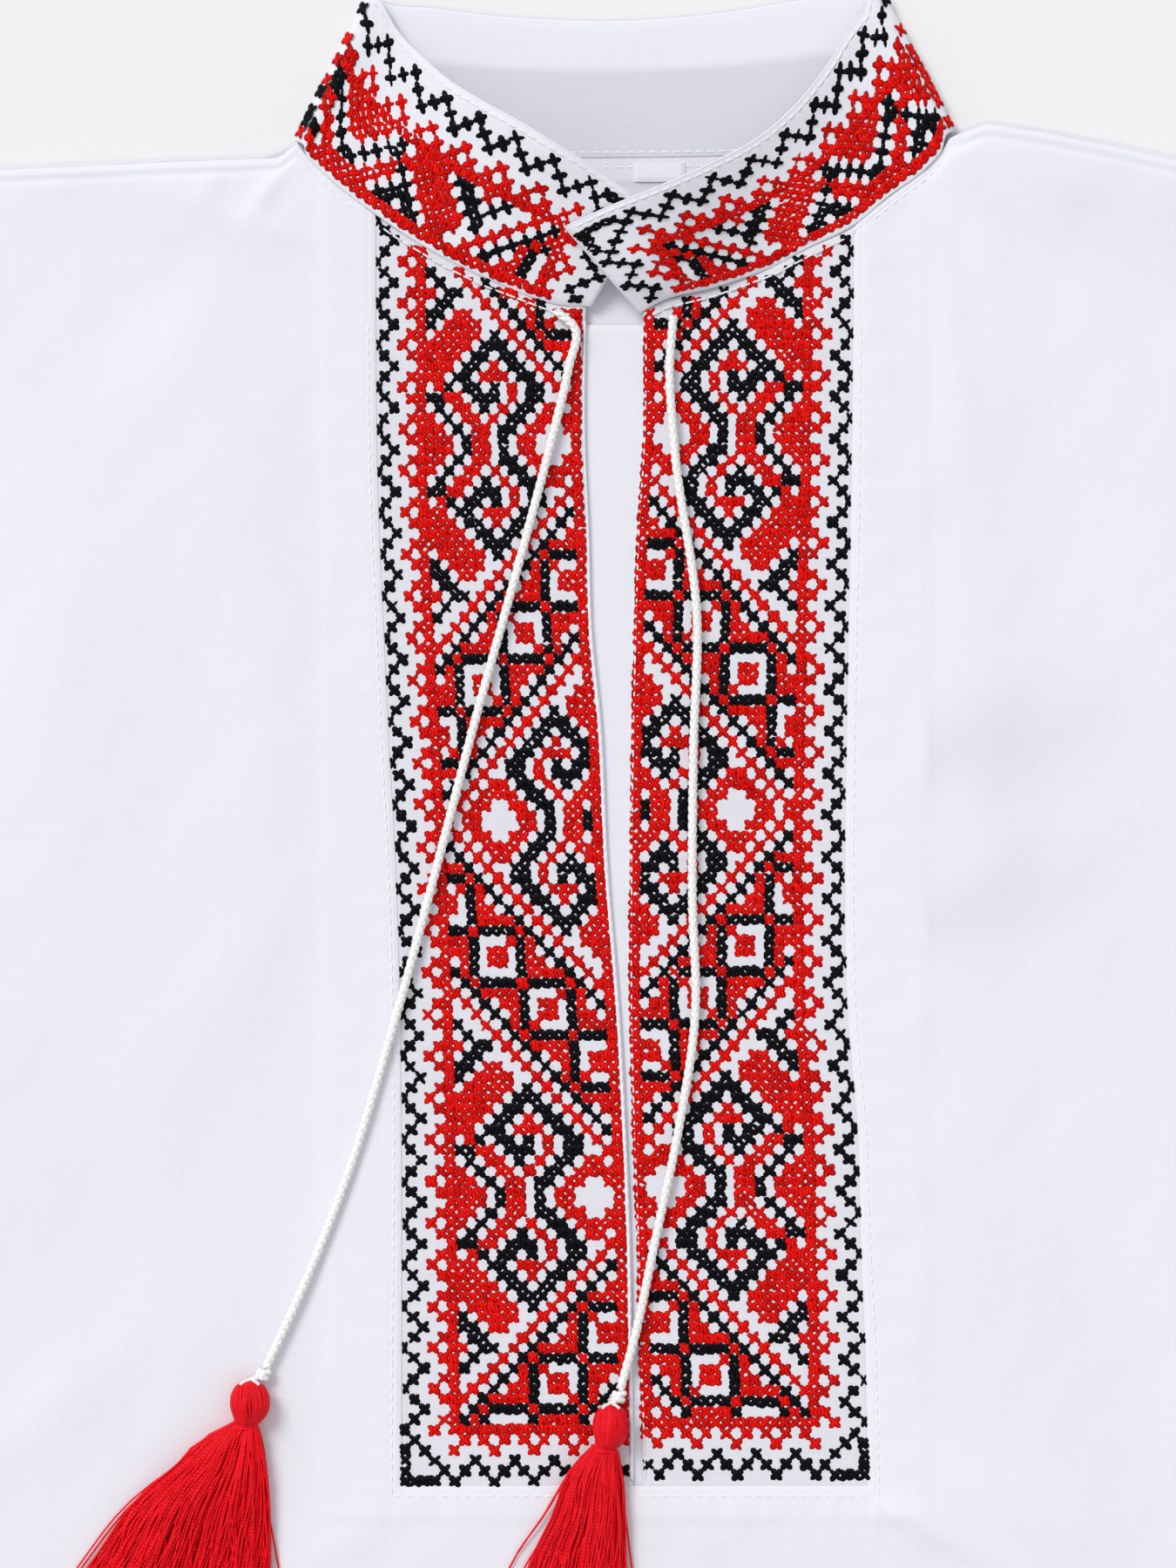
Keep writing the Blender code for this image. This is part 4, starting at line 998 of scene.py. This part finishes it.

# %% [markdown]
# ## Cross-stitch
#
# The chart is a repeat drawn with the forms that such bands share: a stepped diamond, a cross of arms and
# hooked corners. One row of letters is one row of stitches: r is red, b is black and a dot is bare cloth.
# Turned round its last column the chart gives the next half of the repeat.

# %% Cross-stitch
CHART = """
rrr.brr.b.rr....rr.r
rr.b.rr.bb.rr..rr.r.
r.b.rr.r.bb.rrrr.r.b
.b.rr.b.r.bb.rr.r.b.
bbrr.bbb.r.bb..r.brr
.rb.bb.b.r.bb.r.brbb
rr.bb.rrr.bb.r.brbr.
rrr.bb.r.bb.r.b.rb.r
rrrr.bb.bb.r.b.rrb.r
rrrrr.bbb.r.brrrrb..
.rrrrr.b.r.brbbbbrbb
b.rrrr..r.brbr...brr
bb.rr..r.b.rb.rr.brr
.bb...r.b.rrb.rr.br.
r.bb.r.brrrrb....brb
.b..r.brbbbbrbbbbrb.
b..r.brbr...brrrrb.r
..r.b.rb.rr.brr.b.r.
"""
CODES = {".": 0, "r": 1, "b": 2}
FIELD = np.array([[CODES[mark] for mark in line] for line in CHART.split()])
COLUMNS, ROWS, ROW_PITCH, FOOT_ROW = 23, 125, 2.7, 27.5
HALF_REPEAT, BORDER = 18, 5
COLLAR_COLUMNS, COLLAR_RIM, COLLAR_FOOT, COLLAR_END = 13, 2.7, 1.2, 1.2
AT_SEAM, AT_SEAM_HALF = 0.62, 0.27
FLOSSES = ((1, "red", RED), (2, "black", BLACK))


def chart_colour(col, row):
    """The colour of a stitch, counted from the outer seam and from the foot: 0 is bare cloth."""
    turn = np.round((row - FOOT_ROW) / (2.0 * HALF_REPEAT))
    level = np.abs(row - FOOT_ROW - 2.0 * HALF_REPEAT * turn).astype(int)
    place = np.clip(col - BORDER - 1, 0, 15)
    field = FIELD[np.clip(level, 0, HALF_REPEAT - 1), np.where(turn % 2 == 0, place, 19 - place)]
    colour = np.where((col > BORDER) & (row > BORDER), field, 0)
    zigzag = np.array([0, 1, 2, 1])
    for along, out in ((row, col), (col, row)):
        colour = np.where((along >= BORDER) & (out == zigzag[(along - BORDER) % 4]), 2, colour)
    corner = ((col == 0) & (row < 4)) | ((row == 0) & (col < 4))
    corner = corner | ((col + row == BORDER) & (col <= BORDER))
    colour = np.where(corner, 2, colour)
    for along, out in ((row, col), (col, row)):
        teeth = ((along - BORDER) % 4 == 0) & (out == 3) | ((along - BORDER) % 2 == 1) & (out == 4)
        colour = np.where((along >= BORDER) & teeth, 1, colour)
    line = ((col == BORDER) | (col == COLUMNS - 1)) & (row >= BORDER) | (row == BORDER) & (col >= BORDER)
    return np.where(line, 1, colour)


def arm_shape(sign, peak):
    """One arm of a cross, an arched ribbon: x, y, z of its line, half width in x and y, painted shade, u,
    v.
    """
    along = np.array([-1.14, -0.80, 0.0, 0.80, 1.14])
    wide = np.array([0.22, 0.52, 0.60, 0.52, 0.22])
    lift = np.array([0.0, 0.8, 1.0, 0.8, 0.0])
    across = np.array([-1.0, -0.45, 0.45, 1.0])
    arch = np.array([0.0, 1.0, 1.0, 0.0])
    side = 0.7071 * wide[:, None] * across
    z = lift[:, None] * (0.12 + (peak - 0.12) * arch) - 0.06 * (1.0 - arch)
    # Painted shade: the arm is darkest at its ends and edges, where it dives into the cloth and its
    # neighbours shade it.
    tone_and_painted_shade = 1.0 - np.minimum(1.0, 1.25 * lift[:, None]) * arch
    u, v = (along[:, None] + 1.14) / 2.28, (across + 1.0) / 2.0
    table = (1.02 * along[:, None], sign * 0.93 * along[:, None], z, side, -sign * side, tone_and_painted_shade, u, v)
    return np.stack(np.broadcast_arrays(*table), axis=-1).reshape(-1, 8)


UNDER, OVER = arm_shape(1.0, 0.32), arm_shape(-1.0, 0.52)
CROSS = np.vstack([UNDER, OVER])
CROSS_UV = CROSS[:, 6:] + np.repeat((0.0, 0.37), len(UNDER))[:, None] * (1.0, 0.0)
ONE_ARM = grid_faces(5, 4)
CROSS_FACES = np.vstack([ONE_ARM[:, ::-1], ONE_ARM + len(UNDER)])


def crosses(name, places, along, up, out, half_across, half_up, material):
    """Many crosses: the one template, set at each place in its own directions and half sizes."""
    count = len(places)
    size = 1.0 + 0.06 * rng.standard_normal((count, 2, 1))
    nudge = 0.10 * rng.standard_normal((count, 2, 1))
    tall = 1.0 + 0.14 * rng.standard_normal((count, 1))
    turn = 0.07 * rng.standard_normal((count, 1))
    girth = np.repeat(1.0 + 0.17 * rng.standard_normal((count, 2)), len(UNDER), axis=1)
    flat_x = CROSS[:, 0] * size[:, 0] + CROSS[:, 3] * girth
    flat_y = CROSS[:, 1] * size[:, 1] + CROSS[:, 4] * girth
    a = (flat_x - turn * flat_y) * half_across[:, None] + nudge[:, 0]
    b = (flat_y + turn * flat_x) * half_up[:, None] + nudge[:, 1]
    c = CROSS[None, :, 2] * tall
    # Painted shade at each arm's ends and edges, plus a darkening that differs at random from cross to
    # cross.
    tone_and_painted_shade = 1.35 * CROSS[:, 5] + 0.45 * rng.uniform(0.0, 1.0, (count, 1)) ** 3
    points = places[:, None] + along[:, None] * a[..., None] + up[:, None] * b[..., None]
    points = points + out[:, None] * c[..., None]
    faces = CROSS_FACES[None] + (np.arange(count) * len(CROSS))[:, None, None]
    uv = CROSS_UV[None] + rng.uniform(0.0, 1.0, (count, 1, 1)) * np.array((1.0, 0.0))
    piece = new_piece(name, points, faces, material, np.broadcast_to(uv, (count, len(CROSS), 2)), tone_and_painted_shade)
    return piece


def stitch_insert(side, margin):
    """The stitches of one half: columns share its width, and rows are evenly spaced up it."""
    outer, slit = HALVES[side]
    col, row = [v.ravel() for v in np.meshgrid(np.arange(COLUMNS), np.arange(ROWS))]
    rise = {"left": -0.3 - 0.9 * smooth(row / 20.0), "right": 1.3 + 0.4 * smooth(row / 20.0)}[side]
    y = INSERT_BOTTOM + rise + ROW_PITCH * (row + 0.5)
    inward = 1.0 if side == "left" else -1.0

    def across(at_y):
        """Places of the columns, and their pitch: the seam takes in more of the border further up."""
        under = -0.6 - 0.9 * smooth((at_y - INSERT_BOTTOM) / 90.0)
        full = np.abs(insert_edge(at_y, slit) - insert_edge(at_y, outer))
        step = (full - under - margin) / COLUMNS
        return insert_edge(at_y, outer) + inward * (under + step * (col + 0.5)), step

    x, pitch = across(y)
    colour = chart_colour(col, row)
    fits = y + 1.0 < neck_edge(x)
    hidden = inward * (x - insert_edge(y, outer)) < AT_SEAM
    x = np.where(hidden, insert_edge(y, outer) + inward * AT_SEAM, x)
    half = pitch * np.where(hidden, AT_SEAM_HALF, 0.5)
    lean = unit(columns(across(y + 1.0)[0] - across(y - 1.0)[0], 2.0, 0.0))
    pieces = []
    for code, name, material in FLOSSES:
        pick = fits & (colour == code)
        px, py, up = x[pick], y[pick], lean[pick]
        right = columns(up[:, 1], -up[:, 0], 0.0)
        pieces.append(crosses(
            "stitches_" + name + "_" + side, columns(px, py, insert_height(px, py, outer, slit) - 0.02),
            right, up, np.cross(right, up), half[pick], np.full(len(px), ROW_PITCH / 2.0), material,
        ))
    return pieces


def stitch_collar(side):
    """The stitches of one front band. Rows join equal shares of its lower and upper edges' lengths."""
    along_band = np.linspace(*FRONT_ENDS[side], 900)
    heights = (np.full(900, share) for share in (0.0, 0.5, 1.0))
    foot, middle, rim = (running_length(band_points(along_band, share)) for share in heights)

    def place(part, share):
        """Places between equal shares of the band's lower and upper edges."""
        lower, upper = (np.interp(part * edge[-1], edge, along_band) for edge in (foot, rim))
        return band_points(between(lower, upper, share), share)

    length = middle[-1] - COLLAR_END
    count = int(round(length / ROW_PITCH))
    col, row = [v.ravel() for v in np.meshgrid(np.arange(COLLAR_COLUMNS), np.arange(count))]
    half = 0.5 / count * length / middle[-1]
    part = COLLAR_END / middle[-1] + (2 * row + 1) * half
    tall = np.linalg.norm(place(part, np.ones(len(part))) - place(part, np.zeros(len(part))), axis=1)
    step = (tall - COLLAR_RIM - COLLAR_FOOT) / COLLAR_COLUMNS
    share = 1.0 - (COLLAR_RIM + step * (col + 0.5)) / tall
    spot = place(part, share)
    rows_apart = place(part + half, share) - place(part - half, share)
    up = unit(place(part, share + 0.02) - place(part, share - 0.02))
    sign = 1.0 if side == "left" else -1.0
    along = unit(rows_apart) * sign
    out = unit(np.cross(up, along))
    half_along = np.linalg.norm(rows_apart, axis=1) / 2.0
    colour = np.where((col == COLLAR_COLUMNS - 1) & (row >= BORDER), 1, chart_colour(col, row))
    pieces = []
    for code, name, material in FLOSSES:
        pick = colour == code
        pieces.append(crosses(
            "collar_" + name + "_" + side, spot[pick] + out[pick] * 0.44, -along[pick], up[pick], out[pick],
            half_along[pick], step[pick] / 2.0, material,
        ))
    return pieces


stitches = stitch_insert("left", 1.1) + stitch_insert("right", 0.4)
stitches += stitch_collar("left") + stitch_collar("right")
print("crosses:", sum(len(piece.data.vertices) for piece in stitches) // len(CROSS))

# %% [markdown]
# ## Topstitching
#
# A lockstitch shows as short raised dashes with a small gap between them. Each dash is a thin tube
# that dips into the cloth at both ends.


# %% Topstitching
DASH_PITCH, DASH_GAP, SEWING_RADIUS = 3.0, 0.7, 0.25
NECK_LINE, HEM_LINE, BACK_LINE = 2.6, 15.0, 1.9


def dashes(path):
    """Dashes along a path of points: five points each, in an arch of half a sine wave."""
    length = running_length(path)
    count = int(length[-1] / DASH_PITCH)
    step = np.linspace(DASH_GAP / 2.0, DASH_PITCH - DASH_GAP / 2.0, 5)
    at = np.arange(count)[:, None] * DASH_PITCH + step
    points = np.stack([np.interp(at, length, path[:, k]) for k in range(3)], axis=-1)
    points[..., 2] += 0.26 * np.sin(np.linspace(0.0, math.pi, 5)) - 0.16
    return points


def on_front(x, y):
    """Points on the visible front."""
    y = np.broadcast_to(np.asarray(y, dtype=float), x.shape)
    return columns(x, y, front_surface(x, y)[0])


def sew(name, paths):
    """One piece of thread for all the dashes along some paths; it gives their number."""
    made = np.vstack([dashes(path) for path in paths])
    points, faces, uv = tubes(made, SEWING_RADIUS, 5)
    uv[:, 0] *= 2.0
    new_piece(name, points, faces, SEWING, uv)
    return len(made)


side_y = np.linspace(INSERT_BOTTOM - TOP_LINE_AT_FOOT, 305.0, 400)
foot_from = insert_edge(INSERT_BOTTOM, LEFT_OUTER) - TOP_LINE_AT_FOOT
foot_to = insert_edge(INSERT_BOTTOM, RIGHT_OUTER) + TOP_LINE_AT_FOOT
front_paths = []
for column, out in ((LEFT_OUTER, -1.0), (RIGHT_OUTER, 1.0)):
    line_y = side_y[side_y < neck_edge(insert_edge(side_y, column) + out * TOP_LINE) - 3.0]
    front_paths.append(on_front(insert_edge(line_y, column) + out * top_line(line_y), line_y))
front_paths.append(on_front(np.linspace(foot_from, foot_to, 200), INSERT_BOTTOM - TOP_LINE_AT_FOOT))
for x in (np.linspace(-83.0, -68.0, 60), np.linspace(64.0, 83.0, 60)):
    front_paths.append(on_front(x, neck_edge(x) - NECK_LINE))
front_paths.append(on_front(np.linspace(-286.0, 286.0, 900), HEM_Y + HEM_LINE))
count = sew("thread_front", front_paths)
x = np.linspace(-78.0, 78.0, 300)
lines = ((-BACK_LINE, 1.33), (BACK_LINE, 1.44))
count += sew("thread_back_neck", [columns(x, back_edge(x) + out, z) for out, z in lines])
neck_paths = []
for side, ends in (("left", (-62.5, -12.0)), ("right", (57.0, 6.5))):
    x = np.linspace(*ends, 120)
    y = neck_edge(x) - 2.2
    neck_paths.append(columns(x, y, insert_height(x, y, *HALVES[side]) + 0.48))
count += sew("thread_insert_neck", neck_paths)
sleeve_tops = (sleeve_left_top, sleeve_right_top)
count += sew("thread_wrists", [top[-11, 3:-3] + (0.0, 0.0, 0.05) for top in sleeve_tops])
y = np.linspace(4.0, 301.0, 400)
turned_x = insert_edge(y, RIGHT_SLIT) + 0.75
bound_x = insert_edge(y, LEFT_SLIT) - np.interp(y, bind_y[:, 0], bind_wide[:, 0]) * 0.5 + BINDING_OUT
count += sew("thread_slit", [
    columns(turned_x, y, insert_height(turned_x, y, *HALVES["right"]) + 0.2),
    columns(bound_x, y, front_top(bound_x, y) - GROUND_DROP + 0.38),
])
rims = []
for ends in ((1.0, BAND_AT[10]), (BAND_AT[20], BAND_LENGTH - 1.0)):
    place, _, _, out = band_frame(np.linspace(*ends, 300), np.full(300, 0.958))
    rims.append(place + out * 0.36)
count += sew("thread_collar", rims)
print("dashes:", count)

# %% [markdown]
# ## Tassels
#
# A tassel is a bundle of yarn folded over the cord. Below its head it is bound round, and from there
# its strands spread as they lie. Each strand is a twisted yarn with its own slack.

# %% Tassels
# columns: y, left, right, depth of a tassel's skirt from the neck down
LEFT_SKIRT = np.array([
    (18.0, -100.6, -95.2, 4.4), (15.6, -107.0, -94.4, 4.7), (9.0, -113.8, -93.2, 5.3),
    (0.0, -124.2, -92.3, 5.8), (-16.7, -136.4, -91.9, 6.0), (-40.0, -150.0, -93.0, 5.6),
    (-61.0, -158.0, -98.0, 4.8),
])
RIGHT_SKIRT = np.array([
    (12.0, -8.1, -2.4, 4.4), (8.6, -12.3, -1.7, 4.8), (4.0, -15.0, -0.9, 5.3),
    (-4.0, -17.6, -0.4, 5.7), (-16.0, -23.4, -0.2, 6.0), (-42.0, -29.0, 1.4, 5.6),
    (-66.0, -31.5, 2.0, 4.8),
])
# columns: side it strays to, where along the skirt it leaves, how far out it ends, how far it bows
LEFT_STRAYS = np.array([
    (-1, 0.08, 1.0, 3.6), (-1, 0.12, 3.4, 1.8), (1, 0.22, 9.0, 1.2),
    (1, 0.45, 2.6, 0.8), (-1, 0.3, 1.6, 1.4),
])
RIGHT_STRAYS = np.array([
    (-1, 0.05, 4.2, 5.0), (-1, 0.07, 2.2, 5.6), (-1, 0.25, 8.5, 1.5), (-1, 0.3, 5.5, 1.0),
    (1, 0.12, 2.4, 2.2), (1, 0.3, 3.6, 1.6), (1, 0.4, 1.2, 1.2),
])
STRAND_STEPS, STRAND_SIDES, STRAND_RADIUS = 17, 4, 0.235
HEAD_YARNS, HEAD_STEPS, YARN_SIDES, YARN_RADIUS = 60, 14, 6, 0.36
HEAD_TOP, HEAD_FOOT = 0.47 * math.pi, -0.40 * math.pi
YARN = thread_material("tassel yarn", (1.0, 0.013, 0.026), (0.88, 0.003, 0.010), 0.36, gloss=0.12)


def make_strands(side, skirt, strays, count, depth):
    """Strands in no order: each has a place across and deep, drifts a little, and has its own slack."""
    across = rng.uniform(0.0, 1.0, (count, 1))
    deep = rng.uniform(0.0, 1.0, (count, 1))
    reach = 1.0 - 0.09 * rng.uniform(0.0, 1.0, (count, 1)) - 0.10 * np.abs(2.0 * across - 1.0) ** 3
    t = np.linspace(0.0, 1.0, STRAND_STEPS)[None, :]
    y = skirt[0, 0] + 1.0 + (skirt[-1, 0] - skirt[0, 0] - 1.0) * reach * t**1.1
    shape = hermite(skirt[:, 0], skirt[:, 1:], y)
    wide = shape[..., 1] - shape[..., 0]
    drift = np.clip(across + 0.07 * rng.standard_normal((count, 1)) * t, 0.0, 1.0)
    swing = rng.standard_normal((count, 1)) * np.sin(t * math.pi * rng.uniform(0.7, 2.4, (count, 1)))
    curl = rng.standard_normal((count, 1)) * np.sin(t * math.pi * rng.uniform(4.0, 8.0, (count, 1)))
    x = shape[..., 0] + np.clip(wide * (drift + 0.055 * swing) + 0.42 * curl, -0.5, wide + 0.5)
    dome = np.sqrt(np.clip(1.0 - (2.0 * drift - 1.0) ** 2, 0.04, 1.0))
    high = 0.08 + 0.84 * deep * (dome * smooth(2.5 * t) + 1.0 - smooth(2.5 * t))
    z = front_top(x, y) + STRAND_CLEARANCE + shape[..., 2] * high
    away, leave, out, bow = (strays[:, k, None] for k in range(4))
    share = leave + (0.97 - leave) * t
    stray_y = skirt[0, 0] + (skirt[-1, 0] - skirt[0, 0]) * share
    edge = hermite(skirt[:, 0], skirt[:, 1:], stray_y)
    edge_x = np.where(away < 0, edge[..., 0], edge[..., 1])
    stray_x = edge_x + away * (out * t**1.4 + bow * np.sin(math.pi * t) - 0.4)
    stray_z = front_top(stray_x, stray_y) + 0.75 + 1.6 * (1.0 - smooth(3.0 * t))
    paths = np.vstack([columns(x, y, z), columns(stray_x, stray_y, stray_z)])
    points, faces, uv = tubes(paths, STRAND_RADIUS, STRAND_SIDES)
    uv[:, 0] *= 30.0
    shade = depth * rng.uniform(0.0, 1.0, len(paths)) ** 2.5
    tone_and_painted_shade = np.repeat(shade, STRAND_STEPS * STRAND_SIDES)
    piece = new_piece("tassel_" + side + "_strands", points, faces, YARN, uv, tone_and_painted_shade)
    return piece


def make_head(side, head, skirt, knot):
    """Yarn laid round the shape of a head from the top to the neck, a binding round it, and the cord's
    loop.
    """
    neck_at, from_x, to_x, deep = skirt[0]
    neck_x, half_x, half_z = (from_x + to_x) / 2.0, (to_x - from_x) / 2.0, deep / 2.0
    floor = float(front_top(neck_x, neck_at)) + STRAND_CLEARANCE
    neck_z = floor + half_z
    centre = np.array((head[0], head[1], floor + head[4] - 0.2))
    angle = np.linspace(0.0, 2.0 * math.pi, HEAD_YARNS, endpoint=False)[:, None]
    angle = angle + 0.03 * rng.standard_normal((HEAD_YARNS, 1))
    drop = np.linspace(HEAD_FOOT, HEAD_TOP, HEAD_STEPS)[None, :]
    wide = np.cos(drop) ** 0.8
    sway = angle + 0.05 * np.sin(3.0 * drop + 5.0 * angle)
    ball = columns(
        centre[0] + (head[2] - 0.25) * wide * np.cos(sway),
        centre[1] + (head[3] - 0.2) * np.sin(drop),
        centre[2] + (head[4] - 0.25) * wide * np.sin(sway),
    )
    stem = columns(neck_x + half_x * np.cos(angle), neck_at, neck_z + half_z * np.sin(angle))
    pull = (1.0 - smooth((drop - HEAD_FOOT) / 0.75))[..., None]
    points, faces, uv = tubes(between(ball, stem, pull), YARN_RADIUS, YARN_SIDES)
    uv[:, 0] *= 8.0
    shade = np.repeat(0.55 * rng.uniform(0.0, 1.0, HEAD_YARNS), HEAD_STEPS * YARN_SIDES)
    pieces = [new_piece("tassel_" + side + "_head", points, faces, YARN, uv, shade)]
    turn = np.linspace(0.0, 2.0 * math.pi, 40)
    ring_x, ring_z = neck_x + (half_x + 0.25) * np.cos(turn), neck_z + (half_z + 0.1) * np.sin(turn)
    shifts = (-0.7, -0.15, 0.4, 0.95)
    rings = [columns(ring_x, neck_at + shift + 0.3 * np.sin(turn), ring_z) for shift in shifts]
    points, faces, uv = tubes(rings, YARN_RADIUS, YARN_SIDES)
    uv[:, 0] *= 10.0
    pieces.append(new_piece("tassel_" + side + "_binding", points, faces, YARN, uv))
    legs = []
    for lean in (-1.0, 1.0):
        down = np.linspace(0.0, 1.0, 12)[:, None]
        angle_down = 0.5 * math.pi - 0.62 * down
        seat = centre + np.hstack([
            (head[2] + 0.05) * np.cos(angle_down) * lean * 0.85,
            (head[3] + 0.10) * np.sin(angle_down),
            (head[4] + 0.10) * np.cos(angle_down) * 0.75,
        ])
        legs.append(between(seat, knot, 1.0 - smooth(down / 0.35)))
    points, faces, uv = tubes(legs, np.linspace(0.62, 0.40, 12), YARN_SIDES)
    uv[:, 0] *= 3.0
    loop = new_piece("tassel_" + side + "_loop", points, faces, CORD, uv)
    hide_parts("tassel_" + side)
    return pieces + [loop]


strands_left = make_strands("left", LEFT_SKIRT, LEFT_STRAYS, 620, 0.3)
strands_right = make_strands("right", RIGHT_SKIRT, RIGHT_STRAYS, 480, 0.65)
heads = {
    "left": make_head("left", LEFT_HEAD, LEFT_SKIRT, cord_course(LEFT_CORD, LEFT_HEAD)[1]),
    "right": make_head("right", RIGHT_HEAD, RIGHT_SKIRT, cord_course(RIGHT_CORD, RIGHT_HEAD)[1]),
}
print("tassel faces:", len(strands_left.data.polygons), len(strands_right.data.polygons))

# %% [markdown]
# ## Floor and light
#
# A pale floor and a wide soft light from the upper left: its shadows are faint and lie to the lower
# right, and the cloth's low folds read by their shading.

# %% Floor and light
FLOOR_HALF, FLOOR_Z = 30.0, -0.00005
floor_material, _, floor_shader = start_material("pale floor", 0.95)
floor_shader.inputs["Base Color"].default_value = (0.875, 0.865, 0.855, 1.0)
floor_mesh = bpy.data.meshes.new("floor")
corners = [(x * FLOOR_HALF, y * FLOOR_HALF, FLOOR_Z) for x, y in ((-1, -1), (1, -1), (1, 1), (-1, 1))]
floor_mesh.from_pydata(corners, [], [(0, 1, 2, 3)])
floor_mesh.materials.append(floor_material)
floor = bpy.data.objects.new("floor", floor_mesh)
bpy.context.scene.collection.objects.link(floor)

world = bpy.data.worlds.new("studio")
world.use_nodes = True
sky = world.node_tree.nodes["Background"].inputs
sky["Color"].default_value = (0.94, 0.96, 1.0, 1.0)
sky["Strength"].default_value = 0.66
bpy.context.scene.world = world
sun_data = bpy.data.lights.new("key", "SUN")
sun_data.energy = 1.75
sun_data.angle = math.radians(26.0)
sun = bpy.data.objects.new("key", sun_data)
sun.rotation_euler = (math.radians(-32.0), math.radians(-34.0), 0.0)
bpy.context.scene.collection.objects.link(sun)
bpy.context.scene.view_settings.view_transform = "Standard"
print("light comes from the upper left")
